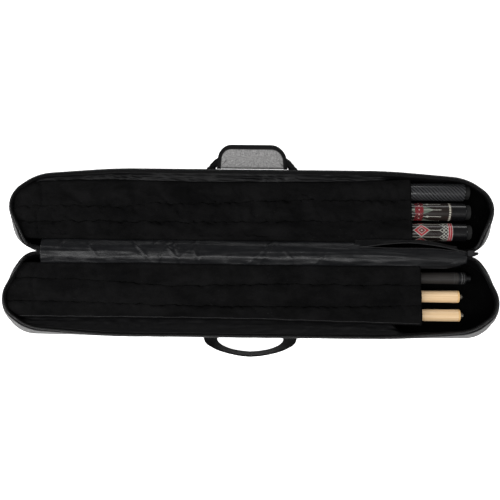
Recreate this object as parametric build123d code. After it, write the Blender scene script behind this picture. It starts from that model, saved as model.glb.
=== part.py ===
"""Soft clamshell cue case, laid open flat, with three cue butts and three cue shafts in its sleeves.

Units are millimetres. X runs along the case, +Y points to the lid half, +Z is up.
The origin is under the middle of the fabric hinge, on the surface that the open case lies on.
The lid half lies at +Y and holds the butts. The base half lies at -Y and holds the shafts.
Every half is drawn on the +Y side and the base half is mirrored, so both rims meet when the lid shuts.
"""

import math
import os
from collections import namedtuple

from build123d import *

# ---------------------------------------------------------------- cue pieces that the case is cut for
CUE_COUNT = 3  # sleeves in each half
PIECE_LENGTH = 737.0  # a butt or a shaft, without its joint pin
BUTT_CAP_DIAMETER = 32.0
JOINT_DIAMETER = 21.4
TIP_DIAMETER = 13.0
CAP_LENGTH = 46.0
BUMPER_LENGTH = 9.0
BUMPER_DIAMETER = 26.0
COLLAR_LENGTH = 18.0
PIN_DIAMETER = 9.5
PIN_LENGTH = 30.0
FERRULE_LENGTH = 20.0
LEATHER_TIP_LENGTH = 5.0
STUB_DIAMETER = 9.4
STUB_LENGTH = 6.0
PROTECTOR_LENGTH = 13.0
PROTECTOR_KNOB_DIAMETER = 11.0
PROTECTOR_KNOB_LENGTH = 9.0
CUE_EDGE = 1.5  # rounding of a butt cap's and a bumper's edge

# ---------------------------------------------------------------- layers of a half
PANEL_THICKNESS = 5.0
PIPING_WIDTH = 3.0
PIPING_HEIGHT = 4.0
WALL_THICKNESS = 5.0
LINING_THICKNESS = 1.0
FLOOR_LINING_THICKNESS = 1.2
BACKING_THICKNESS = 2.4
COVER_THICKNESS = 2.5
COVER_SEAM_THICKNESS = 1.2
DIVIDER_THICKNESS = 2.4
BANK_SIDE_THICKNESS = 3.6
COVER_RISE = 4.5  # how far a sleeve's cover arches above its seams
EDGE_BEAD_RADIUS = 1.1

# ---------------------------------------------------------------- clearances
SEAT_GAP = 0.3  # a cue above the backing it lies on
COVER_CLEARANCE = 0.6  # cover above the fattest cue
BUTT_SIDE_CLEARANCE = 1.2  # cue to the sleeve walls beside it
SHAFT_SIDE_CLEARANCE = 4.5
LAYER_GAP = 0.3  # between curved layers of one half
CLOSING_GAP = 6.0  # cover below the rim plane
RIM_CLEARANCE = 0.3  # chain below the rim plane
HINGE_CLEARANCE = 0.4  # each hinge leaf from the hinge line

# ---------------------------------------------------------------- margins round the sleeves
LID_SPINE_MARGIN = 22.0  # hinge line to the first sleeve wall
BASE_SPINE_MARGIN = 20.0
FRONT_CLEARANCE = 6.3  # last sleeve wall of the lid to the inside of the front wall, at the rim
FOOT_CLEARANCE = 2.5  # the same at the wall's foot
END_CLEARANCE = 31.0  # cap end of a butt to the inside of the end wall
LID_EXPOSED = 108.0  # how far the butts stand out of their sleeves
BASE_EXPOSED = 71.0
SHAFT_SETBACK = 25.0  # shafts lie further in than the butts
CUE_SHIFT = 5.5  # a butt with its joint pin lies this far to the right of the middle

# ---------------------------------------------------------------- outline of a half, from its furthest point and front
HINGE_Y = 2.0
NOSE_OVERSHOOT = 13.6  # rim's nose corner beyond its rounded end
RIM_HINGE_SETBACK = 50.5
RIM_NOSE_DROP = 54.5
RIM_SHOULDER_SETBACK = 60.6
RIM_SHOULDER_DROP = 11.5
FLAT_SETBACK = 198.6
FOOT_FLARE = 3.4  # foot's nose corner beyond the rim's
FOOT_HINGE_SETBACK = 14.6
FOOT_NOSE_DROP = 44.7
FOOT_SHOULDER_SETBACK = 31.0
FOOT_SHOULDER_DROP = 2.0
RIM_RADII = (25.0, 44.0, 90.0, 900.0)  # hinge, nose, shoulder and flat corners
FOOT_RADII = (45.0, 45.0, 60.0, 900.0)

# ---------------------------------------------------------------- rim, zip and hinge
TAPE_HEIGHT = 8.6
TAPE_INSET = 1.2
TAPE_THICKNESS = 1.8
CHAIN_WIDTH = 3.2
CHAIN_HEIGHT = 1.1
ZIP_END_Y = 6.0  # the zip stops this far from the hinge line
LEAF_LENGTH_SETBACK = 62.0  # hinge leaf's end from the rim's furthest point
LEAF_THICKNESS = 1.6
LEAF_FLANGE = 9.0
SPINE_STRIP_THICKNESS = 1.4
SPINE_STRIP_DROP = 4.5
SPINE_STRIP_SETBACK = 60.0
POCKET_MOUTH_LENGTH = 180.0

# ---------------------------------------------------------------- zip slider and pull
SLIDER_LENGTH = 12.0
SLIDER_WIDTH = 9.6  # clears the zip ends as the lid swings
SLIDER_HEIGHT = 6.4
SLIDER_SETBACK = 51.0  # slider's inner end from the rim's furthest point
SLIDER_GAP = 0.4  # slider to the zip ends beside it
LUG_PIN_RADIUS = 0.9
LUG_CHEEK_THICKNESS = 1.4
PULL_THICKNESS = 1.6
PULL_WIDTH = 7.0
PULL_LENGTH = 26.0
PULL_GAP = 0.5
PULL_CLEARANCE = 0.2

# ---------------------------------------------------------------- handles
STRAP_WIDTH = 25.0
STRAP_THICKNESS = 2.6
STRAP_SPACING = 137.0  # between the middles of its two ends
STRAP_FLOOR_GAP = 0.6
STRAP_SETBACK = 0.65  # strap end from its swing axis
PATCH_HEIGHT = 18.0
PATCH_THICKNESS = 1.5
PATCH_MARGIN = 2.0
NEAR_HANDLE_REACH = 36.0  # from the rim
STRAP_BEND_RADIUS = 9.0
FAR_HANDLE_REACH = 48.0  # along the slope, from its swing axis
FAR_HANDLE_Z = 31.0
FAR_HANDLE_SLOPE = 30.0  # degrees above level
WRAP_WIDTH = 126.0
WRAP_DEPTH = 39.0
WRAP_LEAF_THICKNESS = 3.0
WRAP_CORNER = 16.0
WRAP_FOLD_THICKNESS = 2.2
FASTENER_LENGTH = 84.0
FASTENER_THICKNESS = 0.8

# ---------------------------------------------------------------- worked out from the values above
BACKING_Z = PANEL_THICKNESS + FLOOR_LINING_THICKNESS
SEAT_Z = BACKING_Z + BACKING_THICKNESS + SEAT_GAP
COVER_UNDERSIDE_Z = SEAT_Z + BUTT_CAP_DIAMETER + COVER_CLEARANCE
SPRING_Z = COVER_UNDERSIDE_Z - COVER_RISE
RIM_Z = COVER_UNDERSIDE_Z + COVER_THICKNESS + CLOSING_GAP
CHAIN_TOP_Z = RIM_Z - RIM_CLEARANCE
TAPE_TOP_Z = CHAIN_TOP_Z - CHAIN_HEIGHT
WALL_TOP_Z = TAPE_TOP_Z - TAPE_HEIGHT
BUTT_END_X = (PIECE_LENGTH + PIN_LENGTH) / 2 + CUE_SHIFT
SHAFT_END_X = BUTT_END_X - SHAFT_SETBACK
LID_MOUTH_X = BUTT_END_X - LID_EXPOSED
BASE_MOUTH_X = SHAFT_END_X - BASE_EXPOSED
END_X = BUTT_END_X + END_CLEARANCE + WALL_THICKNESS
NOSE_X = END_X + NOSE_OVERSHOOT
LEAF_END_X = END_X - LEAF_LENGTH_SETBACK
SPINE_STRIP_END_X = END_X - SPINE_STRIP_SETBACK
BUTT_Z = SEAT_Z + BUTT_CAP_DIAMETER / 2
SHAFT_Z = SEAT_Z + JOINT_DIAMETER / 2
INNER_INSET = WALL_THICKNESS + LINING_THICKNESS + 2 * LAYER_GAP

# A bank of sleeves starts at Y = start, and its sleeves are width wide and open at X = mouth_x.
Bank = namedtuple("Bank", "start width mouth_x")
LID_BANK = Bank(LID_SPINE_MARGIN, BUTT_CAP_DIAMETER + 2 * BUTT_SIDE_CLEARANCE, LID_MOUTH_X)
BASE_BANK = Bank(BASE_SPINE_MARGIN, JOINT_DIAMETER + 2 * SHAFT_SIDE_CLEARANCE, BASE_MOUTH_X)


def sleeve_starts(bank):
    """Y where each sleeve of the bank starts, from the hinge outwards."""
    first = bank.start + BANK_SIDE_THICKNESS
    return [first + n * (bank.width + DIVIDER_THICKNESS) for n in range(CUE_COUNT)]


def sleeve_centres(bank):
    """Y of each sleeve's middle, from the hinge outwards."""
    return [start + bank.width / 2 for start in sleeve_starts(bank)]


def bank_end(bank):
    """Y where the bank's last side wall ends."""
    return sleeve_starts(bank)[-1] + bank.width + BANK_SIDE_THICKNESS


FRONT_Y = bank_end(LID_BANK) + FRONT_CLEARANCE + WALL_THICKNESS
FOOT_FRONT_Y = bank_end(LID_BANK) + FOOT_CLEARANCE + WALL_THICKNESS


# ---------------------------------------------------------------- outlines
def half_polygon(height):
    """Corners of the right side of a half's outline at that height, hinge corner first, with their radii."""
    share = (height - PANEL_THICKNESS) / (RIM_Z - PANEL_THICKNESS)
    share = min(1.0, max(0.0, share))
    foot = [
        (NOSE_X - FOOT_HINGE_SETBACK, HINGE_Y),
        (NOSE_X + FOOT_FLARE, FOOT_FRONT_Y - FOOT_NOSE_DROP),
        (NOSE_X - FOOT_SHOULDER_SETBACK, FOOT_FRONT_Y - FOOT_SHOULDER_DROP),
        (NOSE_X - FLAT_SETBACK, FOOT_FRONT_Y),
    ]
    rim = [
        (NOSE_X - RIM_HINGE_SETBACK, HINGE_Y),
        (NOSE_X, FRONT_Y - RIM_NOSE_DROP),
        (NOSE_X - RIM_SHOULDER_SETBACK, FRONT_Y - RIM_SHOULDER_DROP),
        (NOSE_X - FLAT_SETBACK, FRONT_Y),
    ]
    corners = [
        (a[0] + share * (b[0] - a[0]), a[1] + share * (b[1] - a[1]))
        for a, b in zip(foot, rim)
    ]
    radii = [a + share * (b - a) for a, b in zip(FOOT_RADII, RIM_RADII)]
    return corners, radii


def inset_polygon(corners, inset):
    """The closed polygon moved inwards by inset. Corners run anticlockwise."""
    count = len(corners)
    lines = []
    for n in range(count):
        (ax, ay), (bx, by) = corners[n], corners[(n + 1) % count]
        length = math.hypot(bx - ax, by - ay)
        ux, uy = (bx - ax) / length, (by - ay) / length
        lines.append((ax - uy * inset, ay + ux * inset, ux, uy))
    moved = []
    for n in range(count):
        px, py, ux, uy = lines[n - 1]
        qx, qy, vx, vy = lines[n]
        cross = ux * vy - uy * vx
        along = ((qx - px) * vy - (qy - py) * vx) / cross
        moved.append((px + along * ux, py + along * uy))
    return moved


def rounded_wire(corners, radii, height):
    """A closed wire with an arc at every corner."""
    count = len(corners)
    arcs = []
    for n in range(count):
        corner = Vector(*corners[n], height)
        before = (Vector(*corners[n - 1], height) - corner).normalized()
        after = (Vector(*corners[(n + 1) % count], height) - corner).normalized()
        half_angle = math.radians(before.get_angle(after)) / 2
        reach = radii[n] / math.tan(half_angle)
        middle = (before + after).normalized()
        depth = radii[n] / math.sin(half_angle) - radii[n]
        arcs.append((corner + before * reach, corner + middle * depth, corner + after * reach))
    edges = []
    for n in range(count):
        start, middle, end = arcs[n]
        edges.append(Edge.make_three_point_arc(start, middle, end))
        edges.append(Edge.make_line(end, arcs[(n + 1) % count][0]))
    return Wire(edges)


def outline(height, inset=0.0):
    """A half's outline at that height, moved inwards by inset."""
    corners, radii = half_polygon(height)
    right = corners
    left = [(-x, y) for x, y in reversed(corners)]
    closed = inset_polygon(right + left, inset)
    return rounded_wire(closed, [r - inset for r in radii + radii[::-1]], height)


def ruled_block(low, high, inset):
    """The solid inside the outline, from one height to another."""
    return Solid.make_loft([outline(low, inset), outline(high, inset)], ruled=True)


def ring(low, high, outer_inset, thickness):
    """A wall that follows the outline between two heights."""
    body = ruled_block(low, high, outer_inset)
    return body - ruled_block(low, high, outer_inset + thickness)


def box_between(low, high):
    """An axis-aligned box from its lowest corner to its highest."""
    size = [b - a for a, b in zip(low, high)]
    middle = [(a + b) / 2 for a, b in zip(low, high)]
    return Pos(*middle) * Box(*size)


def along_x(start, end, *points):
    """A prism along X with a straight-sided section, given as (y, z) points."""
    face = Face(Wire.make_polygon([Vector(start, y, z) for y, z in points], close=True))
    return extrude(face, amount=end - start, dir=(1, 0, 0))


def rod(start, end, y, z, radius_start, radius_end=None):
    """A round bar along X, tapered if two radii are given."""
    radius_end = radius_start if radius_end is None else radius_end
    length = end - start
    if abs(radius_end - radius_start) < 1e-6:
        bar = Cylinder(radius_start, length)
    else:
        bar = Cone(radius_start, radius_end, length)
    return Pos((start + end) / 2, y, z) * Rot(0, 90, 0) * bar


# ---------------------------------------------------------------- shell of a half
def outer_panel():
    """Foam-backed outer panel, the face that the open case lies on."""
    return extrude(Face(outline(0, PIPING_WIDTH)), amount=PANEL_THICKNESS)


def panel_piping():
    """Bound edge round the outer panel."""
    low = PANEL_THICKNESS - PIPING_HEIGHT
    body = extrude(Face(outline(0)), amount=PIPING_HEIGHT)
    body -= extrude(Face(outline(0, PIPING_WIDTH)), amount=PIPING_HEIGHT)
    return Pos(0, 0, low) * body


def side_wall():
    """Padded wall that stands on the panel all round."""
    return ring(PANEL_THICKNESS, WALL_TOP_Z, LAYER_GAP, WALL_THICKNESS - LAYER_GAP)


def wall_lining():
    """Smooth lining inside the wall."""
    return ring(BACKING_Z, WALL_TOP_Z, WALL_THICKNESS + LAYER_GAP, LINING_THICKNESS)


def floor_lining():
    """Lining on the inside of the panel."""
    return ruled_block(PANEL_THICKNESS, BACKING_Z, WALL_THICKNESS + LAYER_GAP)


def open_at_hinge(shape):
    """Takes away what lies along the hinge, so that a ring runs round three sides."""
    return shape - box_between((-NOSE_X, 0, 0), (NOSE_X, ZIP_END_Y, 2 * RIM_Z))


def zip_tape():
    """Woven zip tape that stands on the wall."""
    return open_at_hinge(ring(WALL_TOP_Z, TAPE_TOP_Z, TAPE_INSET, TAPE_THICKNESS))


def zip_chain():
    """Coil of the zip on the tape's edge."""
    inset = TAPE_INSET + TAPE_THICKNESS / 2 - CHAIN_WIDTH / 2
    return open_at_hinge(ring(TAPE_TOP_Z, CHAIN_TOP_Z, inset, CHAIN_WIDTH))


def zip_end_stops():
    """Two blocks of folded tape beyond the ends of the hinge leaf."""
    start, end = LEAF_END_X, END_X - SLIDER_SETBACK - SLIDER_GAP
    stops = []
    for low_x, high_x in ((start, end), (-end, -start)):
        stop = box_between((low_x, HINGE_CLEARANCE, WALL_TOP_Z), (high_x, ZIP_END_Y - SLIDER_GAP, CHAIN_TOP_Z))
        stops.extend(stop.solids())
    return Compound(stops)


def hinge_leaf():
    """Half of the fabric hinge: a web on the wall with a flange up to the hinge line."""
    top = CHAIN_TOP_Z
    web_y = HINGE_Y + LAYER_GAP
    web = box_between((-LEAF_END_X, web_y, WALL_TOP_Z), (LEAF_END_X, web_y + LEAF_THICKNESS, top - LEAF_THICKNESS))
    flange = box_between((-LEAF_END_X, HINGE_CLEARANCE, top - LEAF_THICKNESS), (LEAF_END_X, LEAF_FLANGE, top))
    return web + flange


def spine_lining(bank, end_x):
    """Smooth strip that slopes from the hinge to the sleeves."""
    start_y = LEAF_FLANGE + LAYER_GAP
    end_y = bank.start - LAYER_GAP
    top = CHAIN_TOP_Z - LAYER_GAP
    low = top - SPINE_STRIP_DROP
    return along_x(
        -SPINE_STRIP_END_X,
        end_x,
        (start_y, top),
        (end_y, low),
        (end_y, low - SPINE_STRIP_THICKNESS),
        (start_y, top - SPINE_STRIP_THICKNESS),
    )


def spine_pad():
    """Foam block under the smooth strip of the base half."""
    start_y = HINGE_Y + INNER_INSET + LAYER_GAP
    end_y = BASE_BANK.start - LAYER_GAP
    top = CHAIN_TOP_Z - SPINE_STRIP_DROP - SPINE_STRIP_THICKNESS - 2 * LAYER_GAP
    return box_between((-SPINE_STRIP_END_X, start_y, BACKING_Z), (SPINE_STRIP_END_X, end_y, top))


# ---------------------------------------------------------------- sleeves of a half
def inside_of_half():
    """The room inside a half's lining, which the sleeves are trimmed to."""
    return ruled_block(BACKING_Z, RIM_Z, INNER_INSET)


def sleeve_backing(bank):
    """Padded layer under the cues."""
    top = BACKING_Z + BACKING_THICKNESS
    return box_between((-NOSE_X, bank.start, BACKING_Z), (bank.mouth_x, bank_end(bank), top)) & inside_of_half()


def sleeve_dividers(bank):
    """Upright padded strips that part the sleeves, and one along each side of the bank."""
    low = BACKING_Z + BACKING_THICKNESS
    strips = [(bank.start, bank.start + BANK_SIDE_THICKNESS)]
    strips += [(start - DIVIDER_THICKNESS, start) for start in sleeve_starts(bank)[1:]]
    strips.append((bank_end(bank) - BANK_SIDE_THICKNESS, bank_end(bank)))
    room = inside_of_half()
    solids = []
    for start, end in strips:
        strip = box_between((-NOSE_X, start, low), (bank.mouth_x, end, SPRING_Z)) & room
        solids.extend(strip.solids())
    return Compound(solids)


def cover_section(bank, middle_y):
    """Section of one sleeve's cover, an arch between two seams."""
    half = bank.width / 2
    edge = half + DIVIDER_THICKNESS / 2 - LAYER_GAP / 2
    seam_top = SPRING_Z + COVER_SEAM_THICKNESS
    crown = COVER_UNDERSIDE_Z + COVER_THICKNESS

    def point(y, z):
        return Vector(-NOSE_X, middle_y + y, z)

    edges = [
        Edge.make_three_point_arc(point(-edge, seam_top), point(0, crown), point(edge, seam_top)),
        Edge.make_line(point(edge, seam_top), point(edge, SPRING_Z)),
        Edge.make_line(point(edge, SPRING_Z), point(half, SPRING_Z)),
        Edge.make_three_point_arc(point(half, SPRING_Z), point(0, COVER_UNDERSIDE_Z), point(-half, SPRING_Z)),
        Edge.make_line(point(-half, SPRING_Z), point(-edge, SPRING_Z)),
        Edge.make_line(point(-edge, SPRING_Z), point(-edge, seam_top)),
    ]
    return Face(Wire(edges))


def sleeve_covers(bank):
    """Quilted covers, one over each sleeve."""
    room = inside_of_half()
    solids = []
    for middle_y in sleeve_centres(bank):
        cover = extrude(cover_section(bank, middle_y), amount=bank.mouth_x + NOSE_X, dir=(1, 0, 0))
        solids.extend((cover & room).solids())
    return Compound(solids)


def sleeve_beads(bank):
    """Piping along both long edges of the sleeves."""
    room = inside_of_half()
    height = SPRING_Z + EDGE_BEAD_RADIUS
    offset = BANK_SIDE_THICKNESS - DIVIDER_THICKNESS / 2 - LAYER_GAP - EDGE_BEAD_RADIUS
    solids = []
    for middle_y in (bank.start + offset, bank_end(bank) - offset):
        bead = rod(-NOSE_X, bank.mouth_x, middle_y, height, EDGE_BEAD_RADIUS) & room
        solids.extend(bead.solids())
    return Compound(solids)


# ---------------------------------------------------------------- handles
def front_face_y(height):
    """Y of the front wall's outer face at that height, on the straight stretch."""
    share = (height - PANEL_THICKNESS) / (RIM_Z - PANEL_THICKNESS)
    return FOOT_FRONT_Y + share * (FRONT_Y - FOOT_FRONT_Y)


NEAR_STRAP_Z = STRAP_FLOOR_GAP + STRAP_WIDTH / 2


def handle_axis_y(height):
    """Y of the line where a strap leaves its patch, from the hinge line outwards."""
    return front_face_y(height) + PATCH_THICKNESS + LAYER_GAP


def handle_patches(middle_z):
    """Two stitched patches on the front wall that hold the strap's ends."""
    low = max(middle_z - PATCH_HEIGHT / 2, PANEL_THICKNESS)
    high = low + PATCH_HEIGHT
    half = STRAP_WIDTH / 2 + PATCH_MARGIN
    patches = []
    for side in (1, -1):
        middle_x = side * STRAP_SPACING / 2
        patches.append(
            along_x(
                middle_x - half,
                middle_x + half,
                (front_face_y(low), low),
                (front_face_y(low) + PATCH_THICKNESS, low),
                (front_face_y(high) + PATCH_THICKNESS, high),
                (front_face_y(high), high),
            )
        )
    return Compound([solid for patch in patches for solid in patch.solids()])


def near_handle_strap():
    """Webbing loop: level at the wall, on its edge across the front. Drawn at +Y and mirrored."""
    start_y = handle_axis_y(NEAR_STRAP_Z) + STRAP_SETBACK
    half = STRAP_SPACING / 2 + STRAP_WIDTH / 2
    outer_y = FRONT_Y + NEAR_HANDLE_REACH
    low_z, high_z = STRAP_FLOOR_GAP, STRAP_FLOOR_GAP + STRAP_WIDTH
    bar = box_between((-half, outer_y - STRAP_THICKNESS, low_z), (half, outer_y, high_z))
    strap = bar
    for side in (1, -1):
        low_x, high_x = sorted((side * (half - STRAP_WIDTH), side * half))
        strap += box_between(
            (low_x, start_y, NEAR_STRAP_Z - STRAP_THICKNESS / 2),
            (high_x, outer_y - STRAP_THICKNESS, NEAR_STRAP_Z + STRAP_THICKNESS / 2),
        )
        cheek_x = sorted((side * (half - STRAP_THICKNESS), side * half))
        cheek = box_between(
            (cheek_x[0], outer_y - STRAP_THICKNESS - STRAP_BEND_RADIUS, low_z),
            (cheek_x[1], outer_y - STRAP_THICKNESS, high_z),
        )
        strap += cheek
    return strap


def on_slope(shape):
    """Moves a far handle piece from its level drawing to its resting slope."""
    axis = Location((0, handle_axis_y(FAR_HANDLE_Z), FAR_HANDLE_Z))
    return axis * Rot(FAR_HANDLE_SLOPE, 0, 0) * shape


def far_strap_levels():
    """Underside and top of the far strap, from its own middle plane."""
    return -STRAP_THICKNESS / 2, STRAP_THICKNESS / 2


WRAP_INNER = FAR_HANDLE_REACH - WRAP_DEPTH
STRAP_INNER = WRAP_INNER + WRAP_FOLD_THICKNESS + LAYER_GAP
FOLD_HALF_LENGTH = STRAP_SPACING / 2 - STRAP_WIDTH / 2 - LAYER_GAP


def far_handle_strap():
    """Webbing that lies flat with folded corners, out from the lid half."""
    low_z, high_z = far_strap_levels()
    leg_inner = STRAP_SPACING / 2 - STRAP_WIDTH / 2
    leg_outer = STRAP_SPACING / 2 + STRAP_WIDTH / 2
    band = box_between((-leg_outer, STRAP_INNER, low_z), (leg_outer, STRAP_INNER + STRAP_WIDTH, high_z))
    corners = band.edges().filter_by(Axis.Z).group_by(Axis.Y)[-1]
    strap = chamfer(corners, STRAP_WIDTH / 3)
    for side in (1, -1):
        low_x, high_x = sorted((side * leg_inner, side * leg_outer))
        strap += box_between((low_x, STRAP_SETBACK, low_z), (high_x, STRAP_INNER, high_z))
    return on_slope(strap)


def wrap_leaf(low_z, thickness):
    """One leaf of the handle wrap, with its two free corners rounded."""
    half = WRAP_WIDTH / 2
    leaf = box_between((-half, WRAP_INNER, low_z), (half, FAR_HANDLE_REACH, low_z + thickness))
    corners = leaf.edges().filter_by(Axis.Z).group_by(Axis.Y)[-1]
    return fillet(corners, WRAP_CORNER)


def handle_wrap_upper():
    """Upper leaf of the wrap, with the folded side that reaches down to the lower leaf."""
    low_z, high_z = far_strap_levels()
    fold = box_between(
        (-FOLD_HALF_LENGTH, WRAP_INNER, low_z),
        (FOLD_HALF_LENGTH, WRAP_INNER + WRAP_FOLD_THICKNESS, high_z + LAYER_GAP),
    )
    return on_slope(wrap_leaf(high_z + LAYER_GAP, WRAP_LEAF_THICKNESS) + fold)


def handle_wrap_lower():
    """Lower leaf of the wrap, which opens about the fold."""
    low_z = far_strap_levels()[0] - LAYER_GAP - WRAP_LEAF_THICKNESS
    return on_slope(wrap_leaf(low_z, WRAP_LEAF_THICKNESS))


def handle_wrap_fastener():
    """Hook-and-loop strip under the upper leaf, beyond the strap."""
    top_z = far_strap_levels()[1] + LAYER_GAP
    start = STRAP_INNER + STRAP_WIDTH + LAYER_GAP
    half = FASTENER_LENGTH / 2
    strip = box_between(
        (-half, start, top_z - FASTENER_THICKNESS),
        (half, FAR_HANDLE_REACH - LAYER_GAP, top_z),
    )
    return on_slope(strip)


# ---------------------------------------------------------------- zip slider and pull
def lug_x():
    """X of the slider's lug pin."""
    return END_X - SLIDER_SETBACK + SLIDER_LENGTH + PULL_GAP + PULL_WIDTH / 2


def zip_slider():
    """Slider parked at the right end of the hinge, with a lug for its pull."""
    inner = END_X - SLIDER_SETBACK
    body = Pos(inner + SLIDER_LENGTH / 2, 0, RIM_Z) * Box(SLIDER_LENGTH, SLIDER_WIDTH, SLIDER_HEIGHT)
    slider = fillet(body.edges().filter_by(Axis.Z), SLIDER_WIDTH / 4)
    cheek_y = PULL_THICKNESS / 2 + PULL_CLEARANCE
    cheek_end = lug_x() + 2 * LUG_PIN_RADIUS
    for low_y in (cheek_y, -cheek_y - LUG_CHEEK_THICKNESS):
        slider += box_between(
            (inner + SLIDER_LENGTH / 2, low_y, RIM_Z - 2 * LUG_PIN_RADIUS),
            (cheek_end, low_y + LUG_CHEEK_THICKNESS, RIM_Z + 2 * LUG_PIN_RADIUS),
        )
    pin = Cylinder(LUG_PIN_RADIUS, 2 * (cheek_y + LUG_CHEEK_THICKNESS))
    return slider + Pos(lug_x(), 0, RIM_Z) * Rot(90, 0, 0) * pin


def zip_pull():
    """Pull tab that hangs from the slider's lug, in the notch between the two halves."""
    top_z = RIM_Z + PULL_WIDTH / 2
    tab = Pos(0, 0, top_z - PULL_LENGTH / 2) * Box(PULL_WIDTH, PULL_THICKNESS, PULL_LENGTH)
    tab = fillet(tab.edges().filter_by(Axis.Y), PULL_WIDTH / 2 - PULL_CLEARANCE)
    eye = Cylinder(LUG_PIN_RADIUS + PULL_CLEARANCE, 2 * PULL_THICKNESS)
    tab -= Pos(0, 0, RIM_Z) * Rot(90, 0, 0) * eye
    return Pos(lug_x(), 0, 0) * tab


# ---------------------------------------------------------------- cues
def butt_pieces(middle_y):
    """A cue butt from its bumper to its joint pin, as name to solid."""
    radius = BUTT_CAP_DIAMETER / 2
    joint_radius = JOINT_DIAMETER / 2
    cap_end = BUTT_END_X - BUMPER_LENGTH
    cap_start = cap_end - CAP_LENGTH
    joint_x = BUTT_END_X - PIECE_LENGTH
    cap = rod(cap_start, cap_end, middle_y, BUTT_Z, radius)
    cap = fillet(cap.edges().group_by(Axis.X)[-1], CUE_EDGE)
    bumper = rod(cap_end, BUTT_END_X, middle_y, BUTT_Z, BUMPER_DIAMETER / 2)
    bumper = fillet(bumper.edges().group_by(Axis.X)[-1], CUE_EDGE)
    collar = rod(joint_x, joint_x + COLLAR_LENGTH, middle_y, BUTT_Z, joint_radius)
    body = rod(joint_x + COLLAR_LENGTH, cap_start, middle_y, BUTT_Z, joint_radius, radius)
    pin = rod(joint_x - PIN_LENGTH, joint_x, middle_y, BUTT_Z, PIN_DIAMETER / 2)
    return {"body": body + collar, "cap": cap, "bumper": bumper, "joint_pin": pin}


def shaft_pieces(middle_y, protected):
    """A cue shaft from its joint end to its tip, as name to solid."""
    joint_radius, tip_radius = JOINT_DIAMETER / 2, TIP_DIAMETER / 2
    tip_x = SHAFT_END_X - PIECE_LENGTH
    wood_x = tip_x + LEATHER_TIP_LENGTH + FERRULE_LENGTH
    wood = rod(wood_x, SHAFT_END_X, middle_y, SHAFT_Z, tip_radius, joint_radius)
    ferrule = rod(tip_x + LEATHER_TIP_LENGTH, wood_x, middle_y, SHAFT_Z, tip_radius)
    tip = rod(tip_x, tip_x + LEATHER_TIP_LENGTH, middle_y, SHAFT_Z, tip_radius)
    tip = fillet(tip.edges().group_by(Axis.X)[0], CUE_EDGE)
    if protected:
        knob_x = SHAFT_END_X + PROTECTOR_LENGTH
        end = rod(SHAFT_END_X, knob_x, middle_y, SHAFT_Z, joint_radius)
        end += rod(knob_x, knob_x + PROTECTOR_KNOB_LENGTH, middle_y, SHAFT_Z, PROTECTOR_KNOB_DIAMETER / 2)
    else:
        end = rod(SHAFT_END_X, SHAFT_END_X + STUB_LENGTH, middle_y, SHAFT_Z, STUB_DIAMETER / 2)
    return {
        "wood": wood,
        "joint_end": end,
        "ferrule_and_tip": Compound([*ferrule.solids(), *tip.solids()]),
    }


# ---------------------------------------------------------------- the assembly
def half_pieces(bank, lining_end_x, patch_z):
    """Every piece that both halves have, drawn at +Y."""
    return {
        "outer_panel": outer_panel(),
        "panel_piping": panel_piping(),
        "side_wall": side_wall(),
        "wall_lining": wall_lining(),
        "floor_lining": floor_lining(),
        "zip_tape": zip_tape(),
        "zip_chain": zip_chain(),
        "zip_end_stops": zip_end_stops(),
        "hinge_leaf": hinge_leaf(),
        "spine_lining": spine_lining(bank, lining_end_x),
        "sleeve_backing": sleeve_backing(bank),
        "sleeve_dividers": sleeve_dividers(bank),
        "sleeve_covers": sleeve_covers(bank),
        "sleeve_piping": sleeve_beads(bank),
        "handle_patches": handle_patches(patch_z),
    }


def assembly():
    """Every node of the case and its cues, as name to shape."""
    nodes = {}
    lid = half_pieces(LID_BANK, SPINE_STRIP_END_X - POCKET_MOUTH_LENGTH, FAR_HANDLE_Z)
    base = half_pieces(BASE_BANK, SPINE_STRIP_END_X, NEAR_STRAP_Z)
    base["spine_pad"] = spine_pad()
    for name, shape in lid.items():
        nodes[f"lid_{name}"] = shape
    for name, shape in base.items():
        nodes[f"base_{name}"] = mirror(shape, about=Plane.XZ)
    nodes["near_handle_strap"] = mirror(near_handle_strap(), about=Plane.XZ)
    nodes["far_handle_strap"] = far_handle_strap()
    nodes["handle_wrap_lower"] = handle_wrap_lower()
    nodes["handle_wrap_upper"] = handle_wrap_upper()
    nodes["handle_wrap_fastener"] = handle_wrap_fastener()
    nodes["zip_slider"] = zip_slider()
    nodes["zip_pull"] = zip_pull()
    for number, middle_y in enumerate(reversed(sleeve_centres(LID_BANK)), start=1):
        for name, shape in butt_pieces(middle_y).items():
            nodes[f"butt_{number}_{name}"] = shape
    for number, middle_y in enumerate(sleeve_centres(BASE_BANK), start=1):
        for name, shape in shaft_pieces(-middle_y, protected=number == 1).items():
            nodes[f"shaft_{number}_{name}"] = shape
    return nodes


def main():
    """Writes one STEP file for each node."""
    os.makedirs("parts", exist_ok=True)
    for name, shape in assembly().items():
        export_step(Compound(shape.solids()), f"parts/{name}.step")


main()
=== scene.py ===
"""Looks of a soft cue case that lies open, with three cue butts and three cue shafts in its sleeves.

Lengths are metres in the frame of the CAD model: X along the case, +Y to the lid half, +Z up.
A half is drawn at +Y. The lid has side 1, and the base half is mirrored with side -1.
"""

import functools
import math

import bmesh
import bpy
from mathutils import Matrix, Quaternion, Vector, noise


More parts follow.
